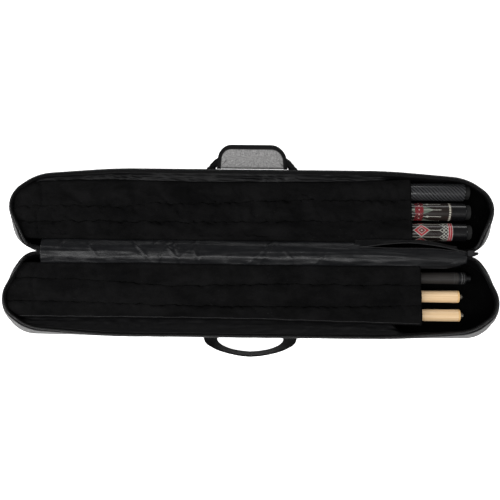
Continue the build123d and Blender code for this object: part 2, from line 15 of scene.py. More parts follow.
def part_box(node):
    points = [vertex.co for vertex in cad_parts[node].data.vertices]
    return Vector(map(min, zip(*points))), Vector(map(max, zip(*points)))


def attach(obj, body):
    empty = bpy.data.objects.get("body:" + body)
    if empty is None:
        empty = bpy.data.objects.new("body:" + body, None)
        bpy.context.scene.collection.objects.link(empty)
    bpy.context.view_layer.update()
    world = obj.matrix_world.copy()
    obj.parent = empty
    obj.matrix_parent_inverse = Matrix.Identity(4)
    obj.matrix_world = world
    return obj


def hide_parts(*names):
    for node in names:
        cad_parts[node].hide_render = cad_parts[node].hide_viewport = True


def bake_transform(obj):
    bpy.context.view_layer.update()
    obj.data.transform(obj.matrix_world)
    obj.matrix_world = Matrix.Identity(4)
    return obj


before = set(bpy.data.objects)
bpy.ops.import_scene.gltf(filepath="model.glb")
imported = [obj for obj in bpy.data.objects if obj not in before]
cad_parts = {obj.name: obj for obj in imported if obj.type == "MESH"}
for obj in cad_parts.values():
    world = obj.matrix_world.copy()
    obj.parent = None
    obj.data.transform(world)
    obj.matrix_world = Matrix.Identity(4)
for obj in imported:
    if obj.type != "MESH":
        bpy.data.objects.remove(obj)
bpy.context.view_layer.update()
MM = 0.001
UP = Vector((0, 0, 1))
END_NAMES = {1: "right", -1: "left"}
SKIN = 0.5 * MM  # a thin cloth


def lowest(node):
    """The node's lowest corner."""
    return Vector(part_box(node)[0])


def highest(node):
    """The node's highest corner."""
    return Vector(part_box(node)[1])


# ------------------------------------------------ outline of a half: hinge, nose, shoulder and flat corners
FOOT_CORNERS = ((0.4220, 0.0020), (0.4420, 0.1000), (0.4040, 0.1422), (0.2400, 0.1447))
RIM_CORNERS = ((0.3881, 0.0020), (0.4386, 0.0940), (0.3780, 0.1370), (0.2400, 0.1485))
FOOT_RADII = (0.070, 0.045, 0.060, 0.900)
RIM_RADII = (0.025, 0.044, 0.090, 0.900)
CORNER_STEPS = 18
SETTLE_FRAMES = 20
EDGE_STEPS = (18, 10, 40, 190, 40, 10, 18, 190)

# ---------------------------------------------------------------- levels of a half
PANEL_TOP = highest("lid_outer_panel").z
FLOOR_TOP = highest("lid_floor_lining").z
WALL_TOP = highest("lid_side_wall").z
TAPE_TOP = highest("lid_zip_tape").z
RIM_TOP = 0.050
SEAM_Z = highest("lid_sleeve_dividers").z + 1.2 * MM
COVER_CROWN = highest("lid_sleeve_covers").z
HINGE = Vector((0, 0, RIM_TOP))
WALL_THICKNESS = 5 * MM
LINING_INSET = 6.1 * MM  # from the wall's outer face to the lining
CORE_Y = 0.073  # middle of a half; its panel and floor close in on a line there
PANEL_CORE, FLOOR_CORE = 0.34, 0.35  # half lengths of those lines
TAPE_START_Y = 6.5 * MM  # the zip tape ends this far from the hinge
BINDING_WRAP_X = 0.362  # beyond this the rim's binding turns in along the hinge

# ------------------------------------------------ sleeves: each seam's line along the case, as (x, y) on the +Y side
LID_MOUTH = highest("lid_sleeve_covers").x
BASE_MOUTH = highest("base_sleeve_covers").x
LID_SEAMS = (
    ((-0.40, 0.0260), (-0.26, 0.0250), (-0.11, 0.0250), (0.05, 0.0255), (0.17, 0.0245), (0.281, 0.0245)),
    (
        (-0.40, 0.0520), (-0.30, 0.0530), (-0.11, 0.0530), (0.00, 0.0545),
        (0.10, 0.0570), (0.17, 0.0575), (0.281, 0.0612),
    ),
    (
        (-0.40, 0.0800), (-0.27, 0.0815), (-0.22, 0.0795), (-0.16, 0.0860), (-0.08, 0.0875),
        (0.00, 0.0910), (0.10, 0.0948), (0.17, 0.0955), (0.281, 0.0980),
    ),
    ((-0.40, 0.1225), (-0.25, 0.1260), (-0.11, 0.1240), (0.05, 0.1250), (0.17, 0.1275), (0.281, 0.1330)),
)
BASE_SEAMS = (
    ((-0.40, 0.0250), (-0.20, 0.0247), (0.00, 0.0252), (0.15, 0.0255), (0.293, 0.0240)),
    (
        (-0.40, 0.0480), (-0.30, 0.0500), (-0.22, 0.0535), (-0.13, 0.0590),
        (-0.05, 0.0572), (0.05, 0.0555), (0.15, 0.0550), (0.293, 0.0552),
    ),
    ((-0.40, 0.0890), (-0.28, 0.0895), (-0.12, 0.0940), (0.04, 0.0950), (0.17, 0.0930), (0.293, 0.0900)),
    ((-0.40, 0.1140), (-0.20, 0.1135), (0.00, 0.1142), (0.10, 0.1165), (0.293, 0.1205)),
)

# ---------------------------------------------------------------- satin strip over the hinge, and the pocket in it
STRIP_START = -0.366
STRIP_END = 0.374
STRIP_LID_EDGE = 0.0255
STRIP_BASE_EDGE = -0.0250
# cross wrinkles of the strip: place along it, lean, height in millimetres
STRIP_WRINKLES = (
    (-0.190, 0.9, 1.5), (-0.176, -0.6, 1.0), (-0.152, -0.5, 1.3), (-0.139, 0.8, 1.2), (-0.128, 0.3, 1.4),
    (-0.112, -0.9, 0.9),
    (-0.098, 0.4, 1.1), (-0.084, -0.3, 0.8), (0.018, -1.1, 1.2), (0.029, -0.7, 1.3), (0.060, 0.8, 0.6),
    (-0.275, 0.6, 0.9), (-0.335, -0.4, 0.8), (0.13, -0.9, 0.5),
)
LOWER_LIP = ((0.186, 0.0215), (0.199, 0.0095), (0.25, 0.0085), (0.310, 0.0085), (0.345, 0.0050), (0.374, 0.0008))
FACING_END = 0.358
UPPER_LIP = ((0.186, 0.0150), (0.199, 0.0105), (0.235, 0.0155), (0.277, 0.0180), (0.325, 0.0130), (0.374, 0.0020))

# ---------------------------------------------------------------- handles
STRAP_WIDTH = 25 * MM
STRAP_THICKNESS = 2.5 * MM
STRAP_MIDDLE = 68.5 * MM
NEAR_AXIS = Vector((0, -0.14718, 0.0131))
FAR_AXIS = Vector((0, 0.1487, 0.031))
FAR_SLOPE = math.radians(30)
WRAP_HALF = 63 * MM
WRAP_INNER = 5.6 * MM
WRAP_OUTER = 48 * MM


# ================================================================ drawing
def smooth(share):
    """0 to 1, easing in and out."""
    share = min(1.0, max(0.0, share))
    return share * share * (3 - 2 * share)


def through(knots, x):
    """The value at x of a smooth line through (x, value) knots."""
    if x <= knots[0][0]:
        return knots[0][1]
    for n in range(1, len(knots)):
        (ax, a), (bx, b) = knots[n - 1], knots[n]
        if x <= bx:
            before, after = knots[max(n - 2, 0)], knots[min(n + 1, len(knots) - 1)]
            step = bx - ax
            rise_a = (b - before[1]) / (bx - before[0]) * step
            rise_b = (after[1] - a) / (after[0] - ax) * step
            t = (x - ax) / step
            return (
                a * (1 - t) ** 2 * (1 + 2 * t)
                + rise_a * t * (1 - t) ** 2
                + b * t * t * (3 - 2 * t)
                - rise_b * t * t * (1 - t)
            )
    return knots[-1][1]


def bump(x, middle, width):
    """1 at the middle, falling to 0 a width away."""
    return math.exp(-(((x - middle) / width) ** 2))


def wander(x, y=0.0, seed=0.0):
    """Smooth irregular value from about -1 to 1; x and y are in wavelengths."""
    return noise.noise(Vector((x, y, seed * 7.31 + 0.37)))


def crease(x, y=0.0, seed=0.0):
    """Sharp irregular ridges, 0 to 1; x and y are in wavelengths."""
    return max(0.0, 1 - 2.6 * abs(wander(x, y, seed)))


def corners_at(height):
    """Corners and radii of a half's outline at that height, the whole way round."""
    share = min(1.0, max(0.0, (height - PANEL_TOP) / (RIM_TOP - PANEL_TOP)))
    right = [
        Vector(a).lerp(Vector(b), share) for a, b in zip(FOOT_CORNERS, RIM_CORNERS)
    ]
    radii = [a + share * (b - a) for a, b in zip(FOOT_RADII, RIM_RADII)]
    left = [Vector((-p.x, p.y)) for p in reversed(right)]
    return right + left, radii + radii[::-1]


def outline(height):
    """Points round a half and their outward directions: right hinge corner, front, left hinge corner, and back."""
    corners, radii = corners_at(height)
    count = len(corners)
    arcs = []
    for n in range(count):
        before = (corners[n - 1] - corners[n]).normalized()
        after = (corners[(n + 1) % count] - corners[n]).normalized()
        half = before.angle(after) / 2
        centre = corners[n] + (before + after).normalized() * radii[n] / math.sin(half)
        reach = radii[n] / math.tan(half)
        arcs.append((corners[n] + before * reach, corners[n] + after * reach, centre, math.pi - 2 * half))
    points = []
    for n in range(count):
        start, end, centre, turn = arcs[n]
        for k in range(CORNER_STEPS + 1):
            spoke = Matrix.Rotation(turn * k / CORNER_STEPS, 2) @ (start - centre)
            points.append((centre + spoke, spoke.normalized()))
        onward = arcs[(n + 1) % count][0]
        along = (onward - end).normalized()
        for k in range(1, EDGE_STEPS[n]):
            points.append((end.lerp(onward, k / EDGE_STEPS[n]), Vector((along.y, -along.x))))
    return points


RIM_LINE = outline(RIM_TOP)
FRONT_RUN = [n for n, (p, _) in enumerate(RIM_LINE) if p.y > TAPE_START_Y]
COUNT = len(RIM_LINE)
BINDING_RUN = [n for n in range(COUNT // 2, COUNT) if RIM_LINE[n][0].x > BINDING_WRAP_X]
BINDING_RUN += [
    n
    for n, (p, _) in enumerate(RIM_LINE)
    if p.y > TAPE_START_Y or (n < COUNT // 2 and p.x > BINDING_WRAP_X) or p.x < -BINDING_WRAP_X
]
DISTANCE = [0.0]
for (a, _), (b, _) in zip(RIM_LINE, RIM_LINE[1:]):
    DISTANCE.append(DISTANCE[-1] + (b - a).length)


def ring(height, inset, side, run=None, wave=None):
    """One row of points round a half; wave(distance, point) gives an extra inset and a rise."""
    row = []
    line = outline(height)
    for n in run or range(len(line)):
        point, outward = line[n]
        extra, rise = wave(DISTANCE[n], point) if wave else (0.0, 0.0)
        at = point - outward * (inset + extra)
        row.append(Vector((at.x, side * at.y, height + rise)))
    return row


LINING_LEVELS = {}


def ring_inset(number, height):
    """A point of the wall's inner face at that height."""
    key = round(height / (0.5 * MM))
    if key not in LINING_LEVELS:
        LINING_LEVELS[key] = outline(key * 0.5 * MM)
    point, outward = LINING_LEVELS[key][number]
    return point - outward * LINING_INSET


def inner_end(y, height, inset):
    """X of the right inner face of a half at that Y."""
    line = [(p - d * inset) for p, d in outline(height)[: len(RIM_LINE) // 3]]
    return max((p.x for p in line if abs(p.y - y) < 4 * MM), default=line[0].x)


def lay_mesh(name, points, faces, uvs):
    mesh = bpy.data.meshes.new(name)
    mesh.from_pydata(points, [], faces)
    layer = mesh.uv_layers.new(name="UVMap")
    for loop, uv in zip(layer.data, uvs):
        loop.uv = uv
    mesh.shade_smooth()
    piece = bpy.data.objects.new(name, mesh)
    bpy.context.scene.collection.objects.link(piece)
    return piece


def quilt(name, rows, ring_rows=False, ring_columns=False, turned=False, capped=False):
    """A mesh through rows of points, with UVs in metres: along the rows and across them."""
    count, deep = len(rows[0]), len(rows)
    middle = rows[deep // 2]
    along, across = [0.0], [0.0]
    for n in range(count):
        along.append(along[-1] + (middle[(n + 1) % count] - middle[n]).length)
    for m in range(deep):
        across.append(across[-1] + (rows[(m + 1) % deep][count // 2] - rows[m][count // 2]).length)
    faces, uvs = [], []
    for m in range(deep if ring_rows else deep - 1):
        for n in range(count if ring_columns else count - 1):
            quad = [(m, n), (m, n + 1), (m + 1, n + 1), (m + 1, n)]
            if turned:
                quad.reverse()
            faces.append([(i % deep) * count + j % count for i, j in quad])
            uvs += [(along[j], across[i]) for i, j in quad]
    if capped:
        for n in (0, count - 1):
            face = [m * count + n for m in range(deep)]
            if (n == 0) == turned:
                face.reverse()
            faces.append(face)
            uvs += [(along[n], across[m]) for m in range(deep)]
    return lay_mesh(name, [p for row in rows for p in row], faces, uvs)


def to_core(point, half_length, side, z=0.0):
    """The nearest point of the line that a half's panel or floor closes in on."""
    return Vector((max(-half_length, min(half_length, point.x)), side * CORE_Y, z))


def scaled(shape, wide, deep):
    """A section's (across, up) points from their shares of a half width and a half depth."""
    return [(a * wide, b * deep) for a, b in shape]


def tidy_normals(piece, fill=False):
    """Turns every face of a closed piece outwards; fill closes its open ends first."""
    work = bmesh.new()
    work.from_mesh(piece.data)
    if fill:
        bmesh.ops.holes_fill(work, edges=[e for e in work.edges if e.is_boundary])
    bmesh.ops.recalc_face_normals(work, faces=work.faces)
    work.to_mesh(piece.data)
    work.free()
    return piece


def dress(piece, material, body=None, stands_for=()):
    """Gives a piece its finish, its body and the CAD nodes that it stands for."""
    piece.data.materials.append(material)
    if body:
        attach(piece, body)
    if stands_for:
        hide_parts(*stands_for)
    return piece


def thicken(piece, thickness, offset=-1.0):
    """Gives a sheet its thickness."""
    modifier = piece.modifiers.new("thickness", "SOLIDIFY")
    modifier.thickness = thickness
    modifier.offset = offset
    return piece


def settle(piece, held, growth, pressure, reach, rest):
    """Lets cloth find its own folds. held(point, index) is 1 where it is sewn down, and reach(point) is the furthest
    that the cloth moves a point. The floor rest(point) comes last, so it may lift a point by more than its reach."""
    copy = piece.copy()
    copy.data = piece.data.copy()
    bpy.context.scene.collection.objects.link(copy)
    pins = copy.vertex_groups.new(name="sewn")
    for vertex in copy.data.vertices:
        pins.add([vertex.index], held(vertex.co, vertex.index), "REPLACE")
    cloth = copy.modifiers.new("cloth", "CLOTH")
    cloth.point_cache.frame_start, cloth.point_cache.frame_end = 1, SETTLE_FRAMES
    settings = cloth.settings
    settings.quality = 5
    settings.mass = 0.25
    settings.tension_stiffness = settings.compression_stiffness = 12
    settings.shear_stiffness = 6
    settings.bending_stiffness = 0.35
    settings.shrink_min = -growth
    settings.use_pressure = pressure > 0
    settings.uniform_pressure_force = pressure
    settings.vertex_group_mass = pins.name
    settings.effector_weights.gravity = 0
    for frame_number in range(1, SETTLE_FRAMES + 1):
        bpy.context.scene.frame_set(frame_number)
    settled = copy.evaluated_get(bpy.context.evaluated_depsgraph_get()).to_mesh()
    for vertex, moved in zip(piece.data.vertices, settled.vertices):
        move = moved.co - vertex.co
        limit = reach(vertex.co)
        if move.length > limit:
            move *= limit / move.length
        vertex.co += move
        vertex.co.z = max(vertex.co.z, rest(vertex.co))
    bpy.data.objects.remove(copy)
    bpy.context.scene.frame_set(1)
    return piece


def spaced(path, step):
    """Points along a path at even steps."""
    out, left = [path[0].copy()], step
    for a, b in zip(path, path[1:]):
        length = (b - a).length
        done = 0.0
        while length - done >= left:
            done += left
            out.append(a.lerp(b, done / length))
            left = step
        left -= length - done
    return out


def frames_along(path, lean):
    """At each point: the direction onward, and two directions across it, the second near lean."""
    out = []
    for n, point in enumerate(path):
        onward = (path[min(n + 1, len(path) - 1)] - path[max(n - 1, 0)]).normalized()
        towards = lean[n] if isinstance(lean, list) else lean
        across = onward.cross(towards).normalized()
        out.append((point, onward, across, across.cross(onward).normalized()))
    return out


def band(name, path, lean, section, closed=False):
    """A solid swept along a path: section gives (across, up) points, up being near lean."""
    frames = frames_along(path, lean)
    rows = [[p + across * a + up * b for p, _, across, up in frames] for a, b in section]
    return tidy_normals(quilt(name, rows, ring_rows=True, ring_columns=closed, capped=not closed))


def round_section(radius, sides=10, flat=1.0):
    return [
        (radius * math.cos(2 * math.pi * k / sides), flat * radius * math.sin(2 * math.pi * k / sides))
        for k in range(sides)
    ]


def strap_section(width, thickness):
    """Section of a webbing strap, with its two thicker selvedges."""
    half, thin = width / 2, thickness / 2
    left = [(-half, 0.45), (-half * 0.96, 0.95), (-half * 0.88, 1.0), (-half * 0.8, 0.86)]
    top = left + [(0, 0.86)] + [(-a, b) for a, b in reversed(left)]
    return [(a, b * thin) for a, b in top] + [(a, -b * thin) for a, b in reversed(top)]


def stitch_row(name, path, up, length=2.4 * MM, pitch=3.6 * MM, thick=0.28 * MM):
    """A run of short stitches along a path."""
    points, faces, uvs = [], [], []
    stops = spaced(path, pitch)
    for a, b in zip(stops, stops[1:]):
        onward = (b - a).normalized()
        across = onward.cross(up).normalized()
        first = len(points)
        for share, size, sink in ((0, 0.5, 0.5), (0.3, 1, 0), (0.7, 1, 0), (1, 0.5, 0.5)):
            middle = a + onward * length * share - up * thick * sink
            for k in range(5):
                turn = 2 * math.pi * k / 5
                points.append(middle + (across * math.cos(turn) + up * math.sin(turn)) * thick * size)
        for ringed in range(3):
            for k in range(5):
                a0, a1 = first + ringed * 5 + k, first + ringed * 5 + (k + 1) % 5
                faces.append([a0, a1, a1 + 5, a0 + 5])
                uvs += [(0, 0)] * 4
        faces += [[first + k for k in reversed(range(5))], [first + 15 + k for k in range(5)]]
        uvs += [(0, 0)] * 10
    return lay_mesh(name, points, faces, uvs)


# ================================================================ finishes
def toned(colour, share):
    """A lighter or darker colour."""
    return tuple(c * share for c in colour)


class Tree:
    """Adds nodes to a material or a group in few words."""

    def __init__(self, nodes_of):
        self.tree = nodes_of

    def feed(self, socket, value):
        if isinstance(value, bpy.types.NodeSocket):
            self.tree.links.new(value, socket)
        elif socket.type == "RGBA" and len(value) == 3:
            socket.default_value = (*value, 1)
        else:
            socket.default_value = value

    def add(self, kind, inputs=(), **settings):
        node = self.tree.nodes.new(kind)
        for name, value in settings.items():
            setattr(node, name, value)
        for name, value in dict(inputs).items():
            self.feed(node.inputs[name], value)
        return node

    def sum(self, operation, *values, clamp=False):
        node = self.add("ShaderNodeMath", enumerate(values), operation=operation, use_clamp=clamp)
        return node.outputs[0]

    def split(self, vector):
        """The three parts of a vector."""
        return self.add("ShaderNodeSeparateXYZ", {0: vector}).outputs

    def tint(self, node, colour):
        self.feed(node.inputs["Base Color"], colour)

    def gloss(self, node, roughness):
        self.feed(node.inputs["Roughness"], roughness)

    def blend(self, share, first, second, mode="MIX"):
        node = self.add("ShaderNodeMix", {0: share, 6: first, 7: second}, data_type="RGBA", blend_type=mode)
        return node.outputs[2]

    def spread(self, value, low, high, to_low=0.0, to_high=1.0):
        node = self.add(
            "ShaderNodeMapRange",
            {"Value": value, "From Min": low, "From Max": high, "To Min": to_low, "To Max": to_high},
        )
        return node.outputs[0]

    def clouds(self, place, scale, detail=2.0, roughness=0.5, stretch=None):
        if stretch:
            place = self.add("ShaderNodeMapping", {"Vector": place, "Scale": stretch}).outputs[0]
        inputs = {"Vector": place, "Scale": scale, "Detail": detail, "Roughness": roughness}
        return self.add("ShaderNodeTexNoise", inputs).outputs[0]

    def group(self, group, **inputs):
        node = self.tree.nodes.new("ShaderNodeGroup")
        node.node_tree = group
        for name, value in inputs.items():
            self.feed(node.inputs[name.replace("_", " ")], value)
        return node.outputs


for method, operation in (
    ("times", "MULTIPLY"), ("plus", "ADD"), ("minus", "SUBTRACT"), ("over", "DIVIDE"), ("size", "ABSOLUTE"),
    ("below", "LESS_THAN"), ("above", "GREATER_THAN"), ("part", "FRACT"), ("sine", "SINE"), ("floor", "FLOOR"),
):
    setattr(Tree, method, functools.partialmethod(Tree.sum, operation))

# every other socket is a number
SOCKET_KINDS = {"Place": "Vector", "Light": "Color", "Dark": "Color", "Color": "Color"}


def make_group(name, inputs, outputs):
    """An empty node group with sockets named in two lists, its tree, its input sockets and its output node's."""
    group = bpy.data.node_groups.new(name, "ShaderNodeTree")
    for labels, way in ((inputs, "INPUT"), (outputs, "OUTPUT")):
        for label in labels.split(", "):
            kind = SOCKET_KINDS.get(label, "Float")
            group.interface.new_socket(label, in_out=way, socket_type=f"NodeSocket{kind}")
    tree = Tree(group)
    return group, tree, group.nodes.new("NodeGroupInput").outputs, group.nodes.new("NodeGroupOutput").inputs


def plain_weave_group():
    """Threads that pass over and under each other."""
    group, t, given, out = make_group("plain weave", "Place, Thread", "Height, Over")
    parts = t.split(given["Place"])
    waves = []
    for axis in (0, 1):
        turns = t.over(parts[axis], given["Thread"])
        waves.append(t.sine(t.times(turns, math.pi)))
    over = t.times(waves[0], waves[1])
    t.feed(out["Over"], t.spread(over, -0.6, 0.6))
    t.feed(out["Height"], t.size(over))
    return group


def ribs_group():
    """Fine ribs across a tape or webbing, with a little unevenness; their colour is darker in the troughs, which is
    painted shade.
    """
    group, t, given, out = make_group("ribs", "Place, Pitch, Slant", "Height, Tone")
    parts = t.split(given["Place"])
    leaning = t.plus(parts[0], t.times(parts[1], given["Slant"]))
    turns = t.over(leaning, given["Pitch"])
    wave = t.sine(t.times(turns, 2 * math.pi))
    t.feed(out["Height"], t.spread(wave, -1, 1))
    uneven = t.clouds(given["Place"], 300.0, 3.0)
    t.feed(out["Tone"], t.times(t.spread(wave, -1, 1, 0.55, 1.0), t.spread(uneven, 0.3, 0.7, 0.75, 1.15)))
    return group


def heather_group():
    """Light and dark yarns mixed along both thread directions."""
    group, t, given, out = make_group("heather yarns", "Place, Light, Dark", "Color, Height")
    along = t.clouds(given["Place"], 1.0, 3.0, 0.6, stretch=(160, 900, 1))
    across = t.clouds(given["Place"], 1.0, 3.0, 0.6, stretch=(900, 160, 1))
    mottle = t.clouds(given["Place"], 260.0, 3.0, 0.7)
    yarn = t.plus(t.times(along, 0.5), t.times(across, 0.5))
    share = t.plus(t.spread(yarn, 0.36, 0.62), t.spread(mottle, 0.3, 0.7, -0.25, 0.25), clamp=True)
    t.feed(out["Color"], t.blend(share, given["Dark"], given["Light"]))
    weave = t.group(GROUPS["plain weave"], Place=given["Place"], Thread=0.75 * MM)
    t.feed(out["Height"], t.plus(t.times(weave["Height"], 0.6), t.times(yarn, 0.8)))
    return group


def nap_group():
    """Brushed pile: patches that lie one way or the other, painted lighter or darker in colour as their sheen, and
    single fibres.
    """
    group, t, given, out = make_group("brushed nap", "Place, Patch", "Lay, Height")
    patch = t.clouds(given["Place"], given["Patch"], 4.0, 0.62, stretch=(0.5, 1.0, 1.0))
    fibre = t.clouds(given["Place"], 1.0, 2.0, 0.7, stretch=(900, 420, 600))
    t.feed(out["Lay"], t.plus(t.spread(patch, 0.33, 0.68), t.spread(fibre, 0.3, 0.7, -0.22, 0.22), clamp=True))
    t.feed(out["Height"], t.plus(t.times(fibre, 0.5), t.times(patch, 0.8)))
    return group


def lint_group():
    """Sparse specks of lint and dust."""
    group, t, given, out = make_group("lint", "Place, Amount", "Mask")
    specks = t.clouds(given["Place"], 420.0, 1.0)
    where = t.clouds(given["Place"], 22.0, 2.0)
    dots = t.spread(specks, 0.70, 0.78)
    t.feed(out["Mask"], t.times(t.times(dots, t.spread(where, 0.45, 0.65)), given["Amount"], clamp=True))
    return group


def handling_group():
    """Faint smears and hairline scratches that handling leaves."""
    group, t, given, out = make_group("handling", "Place, Amount", "Smear, Height")
    smear = t.clouds(given["Place"], 60.0, 4.0, 0.6)
    hair = t.clouds(given["Place"], 1.0, 2.0, 0.5, stretch=(90, 2400, 2400))
    t.feed(out["Smear"], t.times(t.spread(smear, 0.35, 0.75), given["Amount"]))
    t.feed(out["Height"], t.times(hair, given["Amount"]))
    return group


def around_group():
    """Where a point lies on a round cue: metres along it, and its share of a turn round it."""
    group, t, given, out = make_group("round the cue", "Middle Y, Middle Z", "Along, Turn")
    place = t.add("ShaderNodeTexCoord").outputs["Object"]
    parts = t.split(place)
    y = t.minus(parts[1], given["Middle Y"])
    z = t.minus(parts[2], given["Middle Z"])
    turn = t.over(t.sum("ARCTAN2", y, z), 2 * math.pi)
    t.feed(out["Along"], parts[0])
    t.feed(out["Turn"], t.plus(turn, 0.5))
    return group


def between_group():
    """1 between two places along a cue."""
    group, t, given, out = make_group("between", "Along, Start, End", "Mask")
    after = t.above(given["Along"], given["Start"])
    before = t.below(given["Along"], given["End"])
    t.feed(out["Mask"], t.times(after, before))
    return group


def diamonds_group():
    """Distance from the middle of the nearest diamond: 0 there and 1 at its points."""
    group, t, given, out = make_group("diamonds", "Along, Turn, Middle, Length, Count, Shift", "Off")
    lane = t.part(t.plus(t.times(given["Turn"], given["Count"]), given["Shift"]))
    sideways = t.times(t.size(t.minus(lane, 0.5)), 2.0)
    lengthwise = t.size(t.over(t.minus(given["Along"], given["Middle"]), t.over(given["Length"], 2.0)))
    t.feed(out["Off"], t.plus(sideways, lengthwise))
    return group


GROUPS = {}
for make in (
    plain_weave_group, ribs_group, heather_group, nap_group, lint_group, handling_group, around_group, between_group,
    diamonds_group,
):
    made = make()
    GROUPS[made.name] = made


def finish_material(name, shader, **surface):
    """A material with plain values on its shader; shader(t, node) gets its tree and shader node, and the material is
    returned.
    """
    material = bpy.data.materials.new(name)
    material.use_nodes = True
    t = Tree(material.node_tree)
    node = material.node_tree.nodes["Principled BSDF"]
    for label, value in surface.items():
        t.feed(node.inputs[label.replace("_", " ")], value)
    shader(t, node)
    return material


def raise_surface(t, node, height, strength, distance):
    lifted = t.add("ShaderNodeBump", {"Height": height, "Strength": strength, "Distance": distance})
    t.feed(node.inputs["Normal"], lifted.outputs[0])


def flat_place(t):
    return t.add("ShaderNodeUVMap", uv_map="UVMap").outputs[0]


def solid_place(t):
    return t.add("ShaderNodeTexCoord").outputs["Object"]


def heather_cloth(name, light, dark):
    def surface(t, node):
        place = flat_place(t)
        yarns = t.group(GROUPS["heather yarns"], Place=place, Light=light, Dark=dark)
        t.tint(node, yarns["Color"])
        raise_surface(t, node, yarns["Height"], 0.5, 0.5 * MM)

    return finish_material(
        name, surface, Roughness=0.9, Sheen_Weight=0.08, Sheen_Roughness=0.6, Specular_IOR_Level=0.15
    )


def ribbed_cloth(name, colour, pitch, slant=0.0, roughness=0.75, sheen=0.02, depth=0.35 * MM, shine=0.06):
    def surface(t, node):
        place = flat_place(t)
        ribs = t.group(GROUPS["ribs"], Place=place, Pitch=pitch, Slant=slant)
        lint = t.group(GROUPS["lint"], Place=place, Amount=0.5)
        # Painted shade: darker colour in the troughs between ribs, with a little uneven tone of the yarn.
        rib_shaded = t.blend(ribs["Tone"], toned(colour, 0.45), toned(colour, 1.25))
        t.tint(node, t.blend(lint["Mask"], rib_shaded, (0.05, 0.05, 0.05)))
        raise_surface(t, node, ribs["Height"], 0.6, depth)

    return finish_material(name, surface, Roughness=roughness, Sheen_Weight=sheen, Specular_IOR_Level=shine)


def satin_cloth(name, colour, roughness, shine):
    def surface(t, node):
        place = flat_place(t)
        rumple = t.clouds(place, 1.0, 4.0, 0.65, stretch=(55, 120, 1))
        threads = t.clouds(place, 1.0, 2.0, 0.5, stretch=(400, 3000, 1))
        speck = t.clouds(place, 520.0, 2.0, 0.7)
        t.tint(node, t.blend(t.spread(speck, 0.35, 0.7), toned(colour, 0.7), toned(colour, 1.35)))
        t.gloss(node, t.spread(rumple, 0.3, 0.7, roughness - 0.08, roughness + 0.12))
        height = t.plus(t.times(rumple, 1.0), t.times(threads, 0.06))
        raise_surface(t, node, height, 0.35, 1.6 * MM)

    return finish_material(name, surface, Specular_IOR_Level=shine)


def velour_cloth(name, dark, light):
    def surface(t, node):
        place = solid_place(t)
        nap = t.group(GROUPS["brushed nap"], Place=place, Patch=34.0)
        lint = t.group(GROUPS["lint"], Place=place, Amount=0.6)
        # Painted sheen: the nap's patches are lighter or darker in colour.
        brushed = t.blend(nap["Lay"], dark, light)
        # Painted shade: below the seams' level the velour turns to a quarter of its dark colour, so the seam grooves
        # and the lower velour pieces read dark.
        level = t.split(place)[2]
        painted_seam_shade = t.spread(level, SEAM_Z - 3.4 * MM, SEAM_Z + 0.5 * MM)
        sewn = t.blend(painted_seam_shade, toned(dark, 0.25), brushed)
        t.tint(node, t.blend(lint["Mask"], sewn, (0.02, 0.02, 0.021)))
        raise_surface(t, node, nap["Height"], 0.7, 1.1 * MM)

    return finish_material(name, surface, Roughness=0.95, Specular_IOR_Level=0.05)


def hook_loop_cloth():
    def surface(t, node):
        place = flat_place(t)
        loops = t.clouds(place, 1500.0, 2.0, 0.8)
        t.tint(node, t.blend(loops, (0.008, 0.008, 0.008), (0.05, 0.05, 0.05)))
        raise_surface(t, node, loops, 1.0, 0.8 * MM)

    return finish_material("hook and loop", surface, Roughness=0.9)


def coil_plastic():
    def surface(t, node):
        wear = t.group(GROUPS["handling"], Place=solid_place(t), Amount=0.6)
        t.tint(node, t.blend(wear["Smear"], (0.007, 0.007, 0.0072), (0.018, 0.018, 0.019)))
        t.gloss(node, t.spread(wear["Smear"], 0, 1, 0.38, 0.55))

    return finish_material("zip coil", surface, Specular_IOR_Level=0.5)


def thread_finish(name, colour):
    def surface(t, node):
        twist = t.clouds(solid_place(t), 2600.0, 1.0)
        t.tint(node, t.blend(twist, toned(colour, 0.6), toned(colour, 1.3)))

    return finish_material(name, surface, Roughness=0.6)


def dark_metal(name, colour, roughness):
    def surface(t, node):
        wear = t.group(GROUPS["handling"], Place=solid_place(t), Amount=1.0)
        t.tint(node, t.blend(wear["Smear"], colour, toned(colour, 2.2)))
        t.gloss(node, t.spread(wear["Smear"], 0, 1, roughness, roughness + 0.2))
        raise_surface(t, node, wear["Height"], 0.2, 0.1 * MM)

    return finish_material(name, surface, Metallic=0.85)


def turned_metal(name, colour, pitch):
    def surface(t, node):
        place = solid_place(t)
        x = t.split(place)[0]
        groove = t.sine(t.times(x, 2 * math.pi / pitch))
        wear = t.group(GROUPS["handling"], Place=place, Amount=1.0)
        # Painted shade: the colour is darker at the bottoms of the turned grooves.
        t.tint(node, t.blend(t.spread(groove, -1, 1), toned(colour, 0.55), colour))
        t.gloss(node, t.spread(wear["Smear"], 0, 1, 0.22, 0.4))
        raise_surface(t, node, groove, 0.7, 0.35 * MM)

    return finish_material(name, surface, Metallic=1.0)


def moulded(name, colour, roughness, grain, coat=0.0):
    def surface(t, node):
        place = solid_place(t)
        wear = t.group(GROUPS["handling"], Place=place, Amount=1.0)
        pebble = t.clouds(place, grain, 2.0)
        t.tint(node, t.blend(wear["Smear"], colour, tuple(c * 1.6 + 0.004 for c in colour)))
        t.gloss(node, t.spread(wear["Smear"], 0, 1, roughness, roughness + 0.15))
        raise_surface(t, node, pebble, 0.25, 0.15 * MM)

    return finish_material(name, surface, Coat_Weight=coat, Coat_Roughness=0.05, Specular_IOR_Level=0.2)


# ---------------------------------------------------------------- finishes of the cues
def cue_place(t, node_name):
    middle = (lowest(node_name) + highest(node_name)) / 2
    return t.group(GROUPS["round the cue"], Middle_Y=middle.y, Middle_Z=middle.z)


